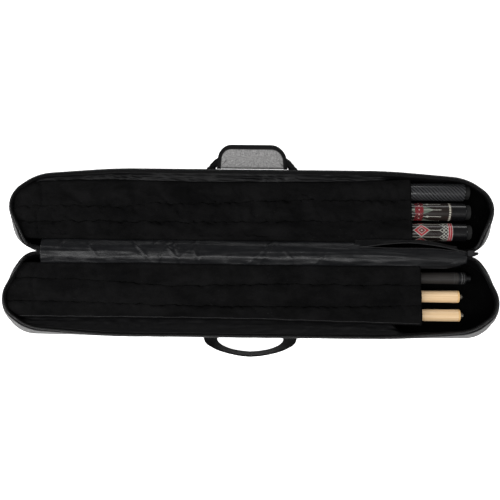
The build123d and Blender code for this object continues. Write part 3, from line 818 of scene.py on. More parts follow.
def lacquer(name, node_name, paint, roughness=0.25, coat=0.6):
    """A lacquered cue piece; paint(t, at) gives its colour from its place on the cue."""

    def surface(t, node):
        t.tint(node, paint(t, cue_place(t, node_name)))
        wear = t.group(GROUPS["handling"], Place=solid_place(t), Amount=1.0)
        t.gloss(node, t.spread(wear["Smear"], 0, 1, roughness, roughness + 0.12))
        raise_surface(t, node, wear["Height"], 0.08, 0.05 * MM)

    return finish_material(name, surface, Coat_Weight=coat, Coat_Roughness=0.04, Specular_IOR_Level=0.2)


def stripe(t, at, start, end, under, colour):
    mask = t.group(GROUPS["between"], Along=at["Along"], Start=start, End=end)["Mask"]
    return t.blend(mask, under, colour)


def carbon_paint(t, at):
    """Two-by-two twill: tows of fibre that catch light in turn."""
    lanes = t.times(at["Turn"], 60.0)
    steps = t.over(at["Along"], 1.65 * MM)
    slanted = t.part(t.over(t.plus(t.floor(lanes), t.floor(steps)), 4.0))
    over = t.below(slanted, 0.45)
    fibres = t.clouds(solid_place(t), 1.0, 1.0, 0.5, stretch=(1800, 300, 300))
    dull = t.blend(fibres, (0.003, 0.003, 0.0035), (0.010, 0.010, 0.011))
    bright = t.blend(fibres, (0.026, 0.0265, 0.028), (0.055, 0.056, 0.060))
    return t.blend(over, dull, bright)


def on_line(t, value, middle, half_width):
    """1 where the value is within half_width of middle."""
    return t.below(t.size(t.minus(value, middle)), half_width)


def from_lane(t, at, count, shift=0.5):
    """0 on the middle of a lane along the cue, 1 between two lanes."""
    lane = t.part(t.plus(t.times(at["Turn"], count), shift))
    return t.times(t.size(t.minus(lane, 0.5)), 2.0)


def diamonds(t, at, middle, length, count, shift=0.5):
    place = {"Along": at["Along"], "Turn": at["Turn"]}
    return t.group(GROUPS["diamonds"], **place, Middle=middle, Length=length, Count=count, Shift=shift)["Off"]


def dark_wood(t):
    grain = t.clouds(solid_place(t), 1.0, 4.0, 0.6, stretch=(14, 260, 260))
    return t.blend(grain, (0.006, 0.0045, 0.004), (0.020, 0.014, 0.012))


INLAY_RED = (0.26, 0.018, 0.026)
INLAY_PALE = (0.30, 0.30, 0.27)
INLAY_GREEN = (0.085, 0.105, 0.085)


def spear_paint(t, at):
    """Dark wood with a lattice block, long thin spears and a metal ring."""
    colour = dark_wood(t)
    colour = t.blend(t.below(diamonds(t, at, 0.3000, 0.064, 4.0), 0.72), colour, INLAY_GREEN)
    colour = t.blend(t.below(diamonds(t, at, 0.3110, 0.060, 4.0, 0.0), 0.16), colour, INLAY_PALE)
    lines = t.below(from_lane(t, at, 8.0), 0.10)
    colour = t.blend(t.times(lines, t.below(at["Along"], 0.335)), colour, INLAY_PALE)
    ground = t.blend(t.below(diamonds(t, at, 0.2960, 0.022, 4.0), 0.9), dark_wood(t), (0.10, 0.012, 0.016))
    small = diamonds(t, at, 0.2960, 0.0075, 12.0)
    block = t.blend(on_line(t, t.part(small), 0.5, 0.13), ground, INLAY_RED)
    block = t.blend(t.below(small, 0.35), block, INLAY_PALE)
    colour = stripe(t, at, 0.2885, 0.3035, colour, block)
    ring = t.blend(t.below(from_lane(t, at, 24.0), 0.6), (0.10, 0.095, 0.08), (0.42, 0.40, 0.34))
    return stripe(t, at, 0.3490, 0.3522, colour, ring)


def diamond_paint(t, at):
    """Dark wood with nested diamonds, thin lines, a fine lattice and a red ring."""
    colour = dark_wood(t)
    lines = t.below(from_lane(t, at, 8.0), 0.09)
    colour = t.blend(t.times(lines, t.below(at["Along"], 0.331)), colour, INLAY_PALE)
    large = diamonds(t, at, 0.2990, 0.030, 4.0)
    deep_red = (0.10, 0.010, 0.013)
    nested = ((1.0, INLAY_PALE), (0.88, INLAY_RED), (0.52, INLAY_PALE), (0.42, deep_red), (0.16, INLAY_PALE))
    for reach, tint in nested:
        colour = t.blend(t.below(large, reach), colour, tint)
    steps = t.plus(t.times(from_lane(t, at, 8.0), 0.009), 0.3295)
    beyond = t.above(at["Along"], steps)
    net = on_line(t, diamonds(t, at, 0.3350, 0.0085, 16.0), 1.0, 0.24)
    net = t.sum("MAXIMUM", net, on_line(t, diamonds(t, at, 0.3415, 0.0085, 16.0), 1.0, 0.24))
    within = t.times(beyond, t.below(at["Along"], 0.3465))
    colour = t.blend(t.times(net, within), colour, INLAY_PALE)
    colour = stripe(t, at, 0.3460, 0.3535, colour, INLAY_RED)
    for start in (0.3458, 0.3492, 0.3530):
        colour = stripe(t, at, start, start + 0.0007, colour, (0.40, 0.40, 0.38))
    return colour


def cap_over(paint):
    """The butt's own pattern as far as its ring, and black beyond."""

    def painted(t, at):
        return stripe(t, at, 0.3545, 0.40, paint(t, at), (0.003, 0.003, 0.0035))

    return painted


def maple_paint(t, at):
    """Straight pale grain with fine pores."""
    place = solid_place(t)
    grain = t.clouds(place, 1.0, 5.0, 0.6, stretch=(6, 420, 420))
    pores = t.clouds(place, 1.0, 2.0, 0.5, stretch=(60, 1800, 1800))
    warm = t.blend(t.spread(grain, 0.35, 0.65), (0.60, 0.41, 0.225), (0.76, 0.56, 0.345))
    wood = t.blend(t.spread(pores, 0.6, 0.75, 0.0, 0.4), warm, (0.46, 0.27, 0.13))
    return stripe(t, at, 0.3605, 0.3640, wood, (0.62, 0.40, 0.18))


def carbon_shaft_paint(t, at):
    """Matt wrapped carbon, with two thin rings at the joint."""
    fibre = t.clouds(solid_place(t), 1.0, 3.0, 0.6, stretch=(40, 900, 900))
    body = t.blend(t.spread(fibre, 0.3, 0.7), (0.014, 0.0125, 0.0118), (0.028, 0.0255, 0.024))
    body = stripe(t, at, 0.3560, 0.3572, body, (0.035, 0.035, 0.035))
    return stripe(t, at, 0.3604, 0.3612, body, (0.03, 0.03, 0.03))


def protector_paint(t, at):
    body = stripe(t, at, 0.3690, 0.3702, (0.006, 0.006, 0.0065), (0.09, 0.09, 0.09))
    return stripe(t, at, 0.3730, 0.3738, body, (0.07, 0.07, 0.07))


def ferrule_paint(t, at):
    """White ferrule and a blue-black leather tip."""
    felt = t.clouds(solid_place(t), 700.0, 3.0)
    leather = t.blend(felt, (0.02, 0.05, 0.10), (0.05, 0.10, 0.17))
    return stripe(t, at, -0.374, -0.368, (0.78, 0.76, 0.70), leather)


HEATHER = heather_cloth("grey heather", (0.17, 0.168, 0.165), (0.055, 0.055, 0.056))
WRAP_HEATHER = heather_cloth("handle heather", (0.33, 0.325, 0.32), (0.10, 0.10, 0.102))
BINDING = ribbed_cloth("grosgrain binding", (0.0058, 0.0056, 0.0058), 1.1 * MM)
SATIN = satin_cloth("satin lining", (0.0040, 0.0042, 0.0050), 0.36, 0.22)
# A darker, duller copy of the lining satin: its darker colour is painted shade, for the gathered lining round the walls
# and the pocket's back facing.
SHADED_DULL_SATIN = satin_cloth("shaded satin", (0.0028, 0.0028, 0.0031), 0.44, 0.10)
VELOUR = velour_cloth("black velour", (0.0018, 0.0018, 0.0019), (0.0052, 0.0051, 0.0053))
ZIP_TAPE = ribbed_cloth("zip tape", (0.0055, 0.0055, 0.0057), 0.9 * MM, slant=1.0)
WEBBING = ribbed_cloth("webbing", (0.0062, 0.0062, 0.0065), 1.8 * MM, slant=0.35, depth=0.5 * MM)
PIPING = satin_cloth("satin piping", (0.007, 0.007, 0.0075), 0.40, 0.20)
HOOK_LOOP = hook_loop_cloth()
COIL = coil_plastic()
THREAD = thread_finish("black thread", (0.030, 0.030, 0.031))
GREY_THREAD = thread_finish("grey thread", (0.10, 0.10, 0.10))


# ================================================================ shell of a half
def padding_wave(depth, seed):
    """Soft swelling of a padded wall, with a few cloth wrinkles; none along the hinge."""

    def wave(distance, point):
        away = smooth((point.y - 6 * MM) / (20 * MM))
        swell = 0.7 + 0.3 * wander(distance / 0.09, 0, seed) - 0.25 * crease(distance / 0.055, 0, seed + 1)
        return -depth * swell * away, 0.0

    return wave


RIM_SHAPE = (
    (-5.5, 0.1), (-2.5, -0.5), (0.0, -0.4), (1.4, 0.7), (1.9, 2.4), (1.2, 4.6), (-0.6, 5.6), (-4.0, 5.7), (-4.0, 5.0),
    (-0.8, 4.7), (0.6, 2.4), (-0.6, 0.6), (-5.5, 0.6),
)  # height over the wall and inset, in millimetres


def make_shell(half, side):
    """Heather wall, heather panel and the bound edges of one half."""
    wall_rows = []
    for share in [k / 12 for k in range(13)]:
        height = PANEL_TOP - 0.6 * MM + share * (WALL_TOP - PANEL_TOP)
        swell = math.sin(math.pi * share) ** 0.7
        wall_rows.append(ring(height, 0.4 * MM, side, wave=padding_wave(2.0 * MM * swell, share * 0.8)))
    wall_rows.append(ring(WALL_TOP, 1.8 * MM, side))
    for height in (WALL_TOP, 0.5 * (WALL_TOP + PANEL_TOP), PANEL_TOP - 0.6 * MM):
        wall_rows.append(ring(height, WALL_THICKNESS - 0.4 * MM, side))
    wall = quilt(f"{half}_heather_wall", wall_rows, ring_rows=True, ring_columns=True)
    dress(tidy_normals(wall), HEATHER, half, [f"{half}_side_wall"])

    edge = ring(0, 2.2 * MM, side)
    panel_rows = []
    outside = ((0, 3.6), (0, 2.0), (0.02, 0.9), (0.06, 0.3), (0.12, 0.0), (0.3, 0.05), (0.6, 0.25), (1, 0.3))
    for share, height in outside:
        row = []
        for point in edge:
            at = point.lerp(to_core(point, PANEL_CORE, side), share)
            ripple = 0.25 * MM * wander(at.x / 0.05, at.y / 0.03, 3) if share > 0.2 else 0.0
            row.append(Vector((at.x, at.y, max(0.0, height * MM + ripple))))
        panel_rows.append(row)
    for share in (1, 0.4, 0.05, 0):
        row = [Vector((p.x, p.y, 0)).lerp(to_core(p, PANEL_CORE, side), share) for p in edge]
        panel_rows.append([p + Vector((0, 0, PANEL_TOP - 0.3 * MM)) for p in row])
    panel = quilt(f"{half}_padded_panel", panel_rows, ring_rows=True, ring_columns=True)
    dress(tidy_normals(panel), HEATHER, half, [f"{half}_outer_panel"])

    def cord_wave(distance, point):
        return 0.25 * MM * wander(distance / 0.03, 0, 5), 0.2 * MM * wander(distance / 0.04, 0, 6)

    path = ring(PANEL_TOP - 2 * MM, 1.7 * MM, side, wave=cord_wave)
    piping = band(f"{half}_panel_cord", path, UP, round_section(1.9 * MM), closed=True)
    dress(piping, BINDING, half, [f"{half}_panel_piping"])

    def binding_wave(distance, point):
        return 0.2 * MM * wander(distance / 0.02, 0, 7), 0.25 * MM * wander(distance / 0.035, 0, 8)

    rim_rows = []
    for height, inset in RIM_SHAPE:
        rim_rows.append(ring(WALL_TOP + height * MM, inset * MM, side, run=BINDING_RUN, wave=binding_wave))
    rim = quilt(f"{half}_rim_binding", rim_rows, ring_rows=True, capped=True)
    dress(tidy_normals(rim), BINDING, half)


FOLD_SHAPE = ((-1, -1), (-1.02, 0), (-0.9, 0.85), (-0.4, 1.0), (0.1, 0.9), (0.5, 1.0), (0.95, 0.8), (1.02, 0), (1, -1))
TAPE_SHAPE = (
    (0.6, 6.8), (4.0, 5.2), (7.0, 3.9), (8.4, 1.6), (8.4, 0.9), (7.6, 1.0), (4.0, 2.2), (0.6, 4.6),
)  # height over the wall and inset, in millimetres


def make_zip(half, side):
    """Zip tape that leans out from the rim, and its coil."""

    def tape_wave(distance, point):
        return 0.3 * MM * wander(distance / 0.03, 0, 9), 0.2 * MM * wander(distance / 0.05, 0, 10)

    rows = []
    for height, inset in TAPE_SHAPE:
        rows.append(ring(WALL_TOP + height * MM, inset * MM, side, run=FRONT_RUN, wave=tape_wave))
    tape = quilt(f"{half}_zip_tape_cloth", rows, ring_rows=True, capped=True)
    dress(tidy_normals(tape), ZIP_TAPE, half, [f"{half}_zip_tape"])

    line = ring(TAPE_TOP, 2.1 * MM, side, run=FRONT_RUN)
    seats = frames_along(spaced(line, 1.05 * MM), UP)
    points, faces, uvs = [], [], []
    for number, (middle, onward, across, up) in enumerate(seats):
        lean = 0.35 * MM if number % 2 else -0.35 * MM
        first = len(points)
        for side_step, rise in ((-1.6, -0.1), (-1.2, 0.75), (0.0, 1.05), (1.2, 0.75), (1.6, -0.1)):
            at = middle + across * side_step * MM + up * rise * MM + onward * lean * side_step / 1.6
            for a, b in ((-0.36, -0.1), (0, 0.22), (0.36, -0.1), (0, -0.3)):
                points.append(at + onward * a * MM + up * b * MM)
        for k in range(4):
            for j in range(4):
                a, b = first + 4 * k + j, first + 4 * k + (j + 1) % 4
                faces.append([a, b, b + 4, a + 4])
                uvs += [(0, 0)] * 4
        faces += [[first + j for j in (3, 2, 1, 0)], [first + 16 + j for j in range(4)]]
        uvs += [(0, 0)] * 8
    coil = lay_mesh(f"{half}_zip_teeth", points, faces, uvs)
    dress(tidy_normals(coil), COIL, half, [f"{half}_zip_chain"])

    stop_length = highest(f"{half}_zip_end_stops").x - highest(f"{half}_hinge_leaf").x
    for end in (1, -1):
        node = f"{half}_zip_end_stops"
        low, high = lowest(node), highest(node)
        middle_y, half_depth = (low.y + high.y) / 2, (high.y - low.y) / 2
        folds = []
        for k in range(13):
            share = k / 12
            x = end * (high.x - stop_length * (1 - share))
            lift = -0.8 * MM - 0.5 * MM * math.sin(share * 9)
            folds.append(Vector((x, middle_y, low.z + (high.z - low.z) / 2 + lift)))
        section = scaled(FOLD_SHAPE, half_depth * 0.98, (high.z - low.z) / 2)
        piece = band(f"{half}_zip_fold_{END_NAMES[end]}", folds, UP, section)
        dress(piece, ZIP_TAPE, half, [node])


def drape_share(x, y, mouth):
    """1 where the lining drapes over to the last sleeve, 0 where it drops straight to the floor."""
    beside = smooth((y - 95 * MM) / (26 * MM))
    return beside * smooth((mouth - 8 * MM - x) / (45 * MM)) * smooth((x + 0.42) / (40 * MM))


def make_linings(half, side, seams, mouth):
    """Gathered satin from the rim to the last sleeve, or down the wall in the wells, and velour on the floor."""
    top = WALL_TOP + 3.2 * MM
    size = 1.0 if half == "lid" else 0.8
    rows = []
    for k in range(17):
        level = k / 16
        line = ring(WALL_TOP, LINING_INSET, 1)
        row = []
        for n, point in enumerate(line):
            outward = RIM_LINE[n][1]
            distance = DISTANCE[n]
            draped = drape_share(point.x, point.y, mouth)
            away = smooth((point.y - 14 * MM) / (30 * MM))
            room = max(0.0, point.y - seam_line(seams, 3, point.x) - 1.0 * MM) * draped
            phase = distance / 0.047 + 0.6 * wander(distance / 0.12, 0, side)
            pouch = abs(math.sin(math.pi * phase)) ** 0.7
            uneven = 0.6 + 0.6 * wander(distance / 0.08, 0, 12)
            fine = crease(distance / 0.022 + 1.5 * level, level * 1.3, 11 + side)
            long_fold = crease(distance / 0.16, level * 2.6, 14 + side)
            middle = math.sin(math.pi * min(1, 0.08 + level)) ** 0.8
            folds = 2.6 * pouch * uneven * (1 - 0.6 * draped) + 1.1 * fine + 1.4 * long_fold * draped
            puff = size * folds * away * middle * MM
            straight = top + (FLOOR_TOP - 0.4 * MM - top) * level
            sunk = top + (SEAM_Z - 4.5 * MM - top) * level ** 0.75
            sunk -= size * 4.0 * MM * pouch * uneven * bump(level, 0.34 if half == "lid" else 0.6, 0.2)
            height = straight + (sunk - straight) * draped + puff * draped
            wall = ring_inset(n, height)
            at = wall - outward * (puff * (1 - draped)) - Vector((0, 1)) * room * level
            row.append(Vector((at.x, side * at.y, height)))
        rows.append(row)
    lining = quilt(f"{half}_gathered_lining", rows, ring_columns=True, turned=side > 0)
    dress(lining, SHADED_DULL_SATIN, half, [f"{half}_wall_lining"])
    thicken(lining, SKIN, 1.0 if side > 0 else -1.0)

    edge = ring(FLOOR_TOP, 5.6 * MM, side)
    rows = []
    for share in (0, 0.04, 0.1, 0.2, 0.35, 0.5, 0.7, 0.85, 1):
        row = []
        for point in edge:
            at = point.lerp(to_core(point, FLOOR_CORE, side, FLOOR_TOP), share)
            at.z = FLOOR_TOP - 0.5 * MM + 0.5 * MM * wander(at.x / 0.025, at.y / 0.02, 15) * smooth(share * 5)
            row.append(at)
        rows.append(row)
    floor = quilt(f"{half}_floor_cloth", rows, ring_columns=True)
    dress(floor, VELOUR, half, [f"{half}_floor_lining"])
    thicken(floor, SKIN)


# ================================================================ sleeves
def seam_line(seams, number, x):
    """Y of a sewn seam, which wanders a little."""
    drift = 0.7 * MM * wander(x / 0.030, number, 20)
    return through(seams[number], x) + drift + 0.5 * MM * wander(x / 0.012, number, 21)


SEAM_STEPS = (-1, -0.93, -0.84, -0.68, -0.48, -0.25, 0, 0.25, 0.48, 0.68, 0.84, 0.93, 1)
SEAM_DEPTH = 3.4 * MM


def cover_height(half, x, number, across):
    """Height of a sleeve's cover; across is -1 at its hinge-side seam and 1 at its other one."""
    if abs(across) == 1:
        return SEAM_Z - SEAM_DEPTH * (0.85 + 0.3 * wander(x / 0.02, number + across, 19))
    arch = (1 - abs(across) ** 2.3) ** 0.85
    loose = 1.0 if half == "lid" else 0.55
    rise = (COVER_CROWN - SEAM_Z) * (0.86 + 0.14 * wander(x / 0.07, number * 2.0, 22))
    height = SEAM_Z + rise * arch
    near_seam = abs(across) ** 1.2 * (1 - abs(across) ** 8)
    slant = x + 0.010 * across * (1 if number % 2 else -1)
    cluster = smooth(0.5 + 1.2 * wander(x / 0.075, number * 1.7, 23))
    pucker = crease(slant / 0.019, number + across * 0.35, 24) * near_seam * cluster
    sag = crease(x / 0.085 + across * 0.5, number * 3.1 + across * 0.8, 25) * (1 - across * across)
    return height - loose * (2.2 * pucker + 1.3 * sag) * MM


DIVIDER_SHAPE = ((-1, -0.96), (-1.1, 0), (-1, 0.62), (-0.5, 0.7), (0.5, 0.7), (1, 0.62), (1.1, 0), (1, -0.96))
GROWTH = {"lid": 0.065, "base": 0.025}  # how much a cover's cloth grows as it settles
COVER_PRESSURE = 0.5


def make_sleeves(half, side, seams, mouth):
    """Velour covers over the cues, their hems, piping, dividers and backing."""
    steps = 220
    shares = [smooth(k / steps) * 0.35 + 0.65 * k / steps for k in range(steps + 1)]
    columns = []
    for share in shares:
        rough_x = -0.40 + (mouth + 0.40) * share
        ys = [seam_line(seams, n, rough_x) for n in range(4)]
        stations = []
        hang = 1.2 * MM * wander(rough_x / 0.06, 0, 17) if half == "lid" else 0.0
        for roll, drop in ((2.6, -6.2), (-0.6, -5.0), (-2.7, -2.2), (-2.6, 0.6), (-1.0, 2.6)):
            stations.append((ys[0] + roll * MM - hang * min(1.0, -roll + 1.6), SEAM_Z + drop * MM, 0))
        for number in range(3):
            for across in SEAM_STEPS[1 if number == 0 else 0 : -1]:
                y = ys[number] + (ys[number + 1] - ys[number]) * (across + 1) / 2
                height = cover_height(half, rough_x, number, across)
                if number == 0 and across < 0:
                    height = max(height, SEAM_Z + 3.2 * MM)
                if number == 2 and across > 0.85:
                    height = max(height, SEAM_Z + 0.8 * MM)
                stations.append((y, height, number))
        for roll, drop in ((0.0, 0.7), (1.3, -0.8), (1.5, -3.0), (0.3, -5.2), (-2.4, -5.6)):
            stations.append((ys[3] + roll * MM, SEAM_Z + drop * MM, 2))
        columns.append((share, stations))
    ends = {}
    points = []
    for share, stations in columns:
        column = []
        for y, z, number in stations:
            key = round(y / MM)
            if key not in ends:
                ends[key] = -inner_end(y, WALL_TOP, 8.2 * MM)
            x = ends[key] + (mouth - ends[key]) * share
            from_end = x - ends[key]
            tuck = 1 - smooth(from_end / (30 * MM) + 0.10)
            z -= (3.0 * tuck + 1.8 * bump(x, -0.374 + 0.004 * math.sin(y / 0.012), 3.5 * MM)) * MM
            hem = bump(x, mouth, 3.0 * MM)
            z += 0.5 * MM * hem
            column.append(Vector((x, side * y, z)))
        points.append(column)
    rows = [list(row) for row in zip(*points)]
    cover = quilt(f"{half}_velour_sleeves", rows, turned=side > 0)
    count = len(rows[0])
    sewn_rows = {*range(6), *range(len(rows) - 7, len(rows))}
    sewn_rows |= {4 + len(SEAM_STEPS) - 1, 4 + 2 * (len(SEAM_STEPS) - 1)}

    def held(point, index):
        row, column = divmod(index, count)
        return 1.0 if row in sewn_rows or column > count - 3 or column < 2 else 0.0

    def reach(point):
        return 5 * MM * smooth((mouth - point.x) / (60 * MM)) + 0.3 * MM

    cues = []
    for n in (1, 2, 3):
        node, thick_end, thin_end = (f"butt_{n}_body", 16.0, 10.7) if half == "lid" else (f"shaft_{n}_wood", 10.7, 6.5)
        cues.append((lowest(node), highest(node), thick_end, thin_end))

    def rest(point):
        """Top of the cue under that point, with the cloth's own thickness."""
        for low, high, thick_end, thin_end in cues:
            share = min(1.0, max(0.0, (point.x - low.x) / (high.x - low.x)))
            radius = (thin_end + (thick_end - thin_end) * share) * MM
            off = abs(point.y - (low.y + high.y) / 2)
            if off < radius:
                return low.z + thick_end * MM + math.sqrt(radius * radius - off * off) + 2.1 * MM
        return 0.0

    settle(cover, held, GROWTH[half], COVER_PRESSURE, reach, rest)
    rows = [[cover.data.vertices[m * count + n].co.copy() for n in range(count)] for m in range(len(rows))]
    dress(cover, VELOUR, half, [f"{half}_sleeve_covers"])
    thicken(cover, 1.8 * MM, -1.0)

    edge = [row[-1] for row in rows]
    hem_path = [Vector((mouth + 0.2 * MM, p.y, p.z - 0.9 * MM)) for p in edge[2:-2]]
    hem = band(f"{half}_mouth_hem", hem_path, Vector((1, 0, 0)), round_section(1.35 * MM, 8))
    dress(hem, VELOUR, half)

    for number in (0, 3):
        row = rows[4] if number == 0 else rows[-5]
        out = -1 if number == 0 else 1
        lift = 0.9 * MM if (half, number) == ("base", 3) else -0.6 * MM
        path = [p + Vector((0, side * out * 0.6 * MM, lift)) for p in row[3:]]
        edge_name = "hinge" if number == 0 else "front"
        cord = band(f"{half}_sleeve_cord_{edge_name}", spaced(path, 4 * MM), UP, round_section(0.95 * MM, 8))
        dress(cord, PIPING, half, [f"{half}_sleeve_piping"])

    node = f"{half}_sleeve_dividers"
    low, high = lowest(node), highest(node)
    for number in range(4):
        wide = 2.4 * MM if number in (1, 2) else 3.2 * MM
        nudge = {0: 0.6 * MM, 3: -0.6 * MM}.get(number, 0)
        path = []
        for k in range(60):
            x = -0.385 + (mouth - 1.0 * MM + 0.385) * k / 59
            blend = smooth((x - mouth + 0.12) / 0.12)
            straight = seams[number][-1][1]
            y = seam_line(seams, number, x) * (1 - blend) + straight * blend
            path.append(Vector((x, side * (y + nudge), (low.z + high.z) / 2)))
        section = scaled(DIVIDER_SHAPE, wide / 2, (high.z - low.z) / 2)
        piece = band(f"{half}_sleeve_wall_{number + 1}", path, UP, section)
        dress(piece, VELOUR, half, [node])

    node = f"{half}_sleeve_backing"
    low, high = lowest(node), highest(node)
    start_y, end_y = sorted((abs(low.y), abs(high.y)))
    rows = []
    profile = [(start_y, 0.05), (start_y, 0.7), (start_y + 0.8 * MM, 1.0)]
    profile += [(start_y + (end_y - start_y) * k / 10, 1.0 - 0.12 * (k % 2)) for k in range(1, 10)]
    profile += [(end_y - 0.8 * MM, 1.0), (end_y, 0.7), (end_y, 0.05), ((start_y + end_y) / 2, 0.0)]
    for y, lift in profile:
        row = []
        start = -inner_end(y, FLOOR_TOP, 7.5 * MM)
        for k in range(50):
            x = start + (mouth - 0.6 * MM - start) * k / 49
            row.append(Vector((x, side * y, low.z + (high.z - low.z) * lift)))
        rows.append(row)
    backing = tidy_normals(quilt(f"{half}_sleeve_pad", rows, ring_rows=True, capped=True))
    dress(backing, VELOUR, half, [node])


# ================================================================ hinge, satin strip and pocket
STRIP_PROFILE = (
    (-0.0260, 0.0375), (-0.0235, 0.0392), (-0.0205, 0.0425), (-0.0150, 0.0463), (-0.0080, 0.0489), (0.0, 0.0496),
    (0.0060, 0.0491), (0.0120, 0.0474), (0.0170, 0.0443), (0.0210, 0.0400), (0.0255, 0.0335),
)  # (y, height) over the ridge


def strip_height(x, y):
    """Height of the satin over the hinge: a soft ridge with long folds and some cross wrinkles."""
    height = through(STRIP_PROFILE, y)
    if x > 0.19:
        height += smooth((x - 0.19) / 0.02) * max(0.0, 0.0485 - height) * smooth(y / 0.006)
    folds = 0.9 * crease(x / 0.13 + 0.3 * y / 0.01, y / 0.0100, 31) + 0.8 * wander(x / 0.050, y / 0.009, 32)
    cross = 0.0
    for place, lean, size in STRIP_WRINKLES:
        cross += size * bump(x + lean * y, place, 0.0034) * (0.35 + 0.65 * bump(y, 0.012 * math.sin(place * 90), 0.013))
    scallop = 1.3 * abs(math.sin(math.pi * (x / 0.058 + 0.5 * wander(x / 0.15, 0, 34)))) * bump(y, -0.0195, 0.0040)
    calm = smooth((0.0265 - abs(y)) / 0.004)
    return height + (0.8 * folds + cross - scallop) * calm * MM - 0.5 * MM


CUSHION_SHAPE = ((-1, -1), (-1.03, 0), (-0.97, 0.85), (-0.7, 1), (0, 1.03), (0.7, 1), (0.97, 0.85), (1.03, 0), (1, -1))
GUSSET_SHAPE = (
    (-2.0, 24), (-1.9, 34), (-1.6, 42), (-1.3, 46), (-0.9, 48.2), (0, 48.9),
    (0.9, 48.2), (1.3, 46), (1.6, 42), (1.9, 34), (2.0, 24),
)  # y and height, in millimetres


def make_hinge():
    """Satin strip, pocket, and the cloth hinge under them."""
    width_steps, length_steps = 40, 420
    rows = []
    for m in range(width_steps + 1):
        row = []
        for n in range(length_steps + 1):
            x = STRIP_START + (STRIP_END - STRIP_START) * n / length_steps
            edge = STRIP_LID_EDGE if x < LOWER_LIP[0][0] else through(LOWER_LIP, x)
            near = STRIP_BASE_EDGE * (1 - 0.5 * smooth((x - 0.335) / 0.06))
            y = near + (edge - near) * m / width_steps
            row.append(Vector((x, y, strip_height(x, y))))
        rows.append(row)
    strip = quilt("hinge_satin_strip", rows)
    dress(strip, SATIN, stands_for=["lid_spine_lining", "base_spine_lining"])
    thicken(strip, SKIN)
    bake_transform(strip)

    def lip(name, knots, lift, radius):
        path = [Vector((x, through(knots, x), 0)) for x in [0.188 + 0.186 * k / 60 for k in range(61)]]
        for point in path:
            point.z = strip_height(point.x, point.y) + lift
        piece = band(name, path, UP, round_section(radius, 10))
        dress(piece, PIPING)
        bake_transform(piece)

    lip("pocket_lower_lip", LOWER_LIP[1:], 0.5 * MM, 0.8 * MM)
    lip("pocket_upper_lip", UPPER_LIP[1:], 1.2 * MM, 1.15 * MM)
    rows = []
    for m in range(9):
        row = []
        for n in range(91):
            x = 0.180 + (FACING_END - 0.180) * n / 90
            low_y = through(UPPER_LIP, x)
            high_y = 0.0245 if x < LID_MOUTH + 0.01 else 0.0245 - 0.012 * smooth((x - LID_MOUTH - 0.01) / 0.08)
            y = low_y + (high_y - low_y) * m / 8
            z = strip_height(x, low_y) + 1.0 * MM - 3.5 * MM * (m / 8) + 0.8 * MM * wander(x / 0.03, m / 4, 36)
            row.append(Vector((x, y, z)))
        rows.append(row)
    facing = quilt("pocket_facing", rows)
    dress(facing, SHADED_DULL_SATIN, "lid")
    thicken(facing, SKIN)

    leaf_end = highest("lid_hinge_leaf").x
    stations = [leaf_end * (k / 30 - 1) for k in range(61)]
    rows = [[Vector((x, y * MM, z * MM)) for x in stations] for y, z in GUSSET_SHAPE]
    gusset = quilt("hinge_gusset", rows)
    dress(gusset, WEBBING, stands_for=["lid_hinge_leaf", "base_hinge_leaf"])
    thicken(gusset, 0.6 * MM)
    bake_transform(gusset)

    low, high = lowest("base_spine_pad"), highest("base_spine_pad")
    middle = (low + high) / 2
    half_y, half_z = (high.y - low.y) / 2, (high.z - low.z) / 2
    path = []
    for k in range(81):
        y = middle.y + 0.4 * MM * wander(k / 6, 0, 38)
        path.append(Vector((low.x + (high.x - low.x) * k / 80, y, middle.z)))
    section = scaled(CUSHION_SHAPE, half_y, half_z)
    pad = band("base_spine_cushion", path, UP, section)
    dress(pad, SATIN, "base", ["base_spine_pad"])


# ================================================================ handles
def patch_pieces(half, side):
    """Stitched patches that hold a strap's ends."""
    node = f"{half}_handle_patches"
    low, high = lowest(node), highest(node)
    front = max(abs(low.y), abs(high.y))
    right = STRAP_MIDDLE + STRAP_WIDTH / 2 + 2 * MM
    left = STRAP_MIDDLE - STRAP_WIDTH / 2 - 2 * MM

    def corners(inset, radius):
        return rounded_rectangle(left + inset, right - inset, low.z + inset, high.z - inset, radius)

    for end in (1, -1):
        rows = []
        for inset, out in ((0, -1.4), (0, -0.5), (0.7, 0.1), (1.6, 0.2), (2.6, -0.15), (3.6, 0.1), (8.5, 0.2)):
            row = []
            for x, z in corners(inset * MM, 2.5 * MM):
                lean = 3.8 * MM * (high.z - z) / 0.045
                row.append(Vector((end * x, side * (front - lean * 0.8 + out * MM - 0.2 * MM), z)))
            rows.append(row)
        patch = quilt(f"{half}_strap_patch_{END_NAMES[end]}", rows, ring_columns=True)
        tidy_normals(patch, fill=True)
        dress(patch, WEBBING, half, [node])
        box = []
        for x, z in corners(2.6 * MM, 1.0 * MM):
            y = front + 0.15 * MM - 0.8 * 3.8 * MM * (high.z - z) / 0.045
            box.append(Vector((end * x, side * y, z)))
        stitches = stitch_row(f"{half}_patch_stitches_{END_NAMES[end]}", box + box[:1], Vector((0, side, 0)))
        dress(stitches, GREY_THREAD, half)


def rounded_rectangle(left, right, low, high, radius, steps=5):
    """Points round a rectangle with rounded corners."""
    points = []
    for x, y, start in ((right, high, 0), (left, high, 90), (left, low, 180), (right, low, 270)):
        centre = (x - radius if x == right else x + radius, y - radius if y == high else y + radius)
        for k in range(steps + 1):
            turn = math.radians(start + 90 * k / steps)
            points.append((centre[0] + radius * math.cos(turn), centre[1] + radius * math.sin(turn)))
    return points


NEAR_LOOP = (
    (68.5, -145.9, 0), (68.1, -149.4, 18), (66.0, -153.6, 38), (62.0, -157.8, 54), (55.8, -162.2, 62),
    (46.5, -166.4, 67),
    (34.0, -170.2, 70), (17.0, -173.4, 70), (0.0, -174.8, 70),
)  # x and y in millimetres, and the twist in degrees


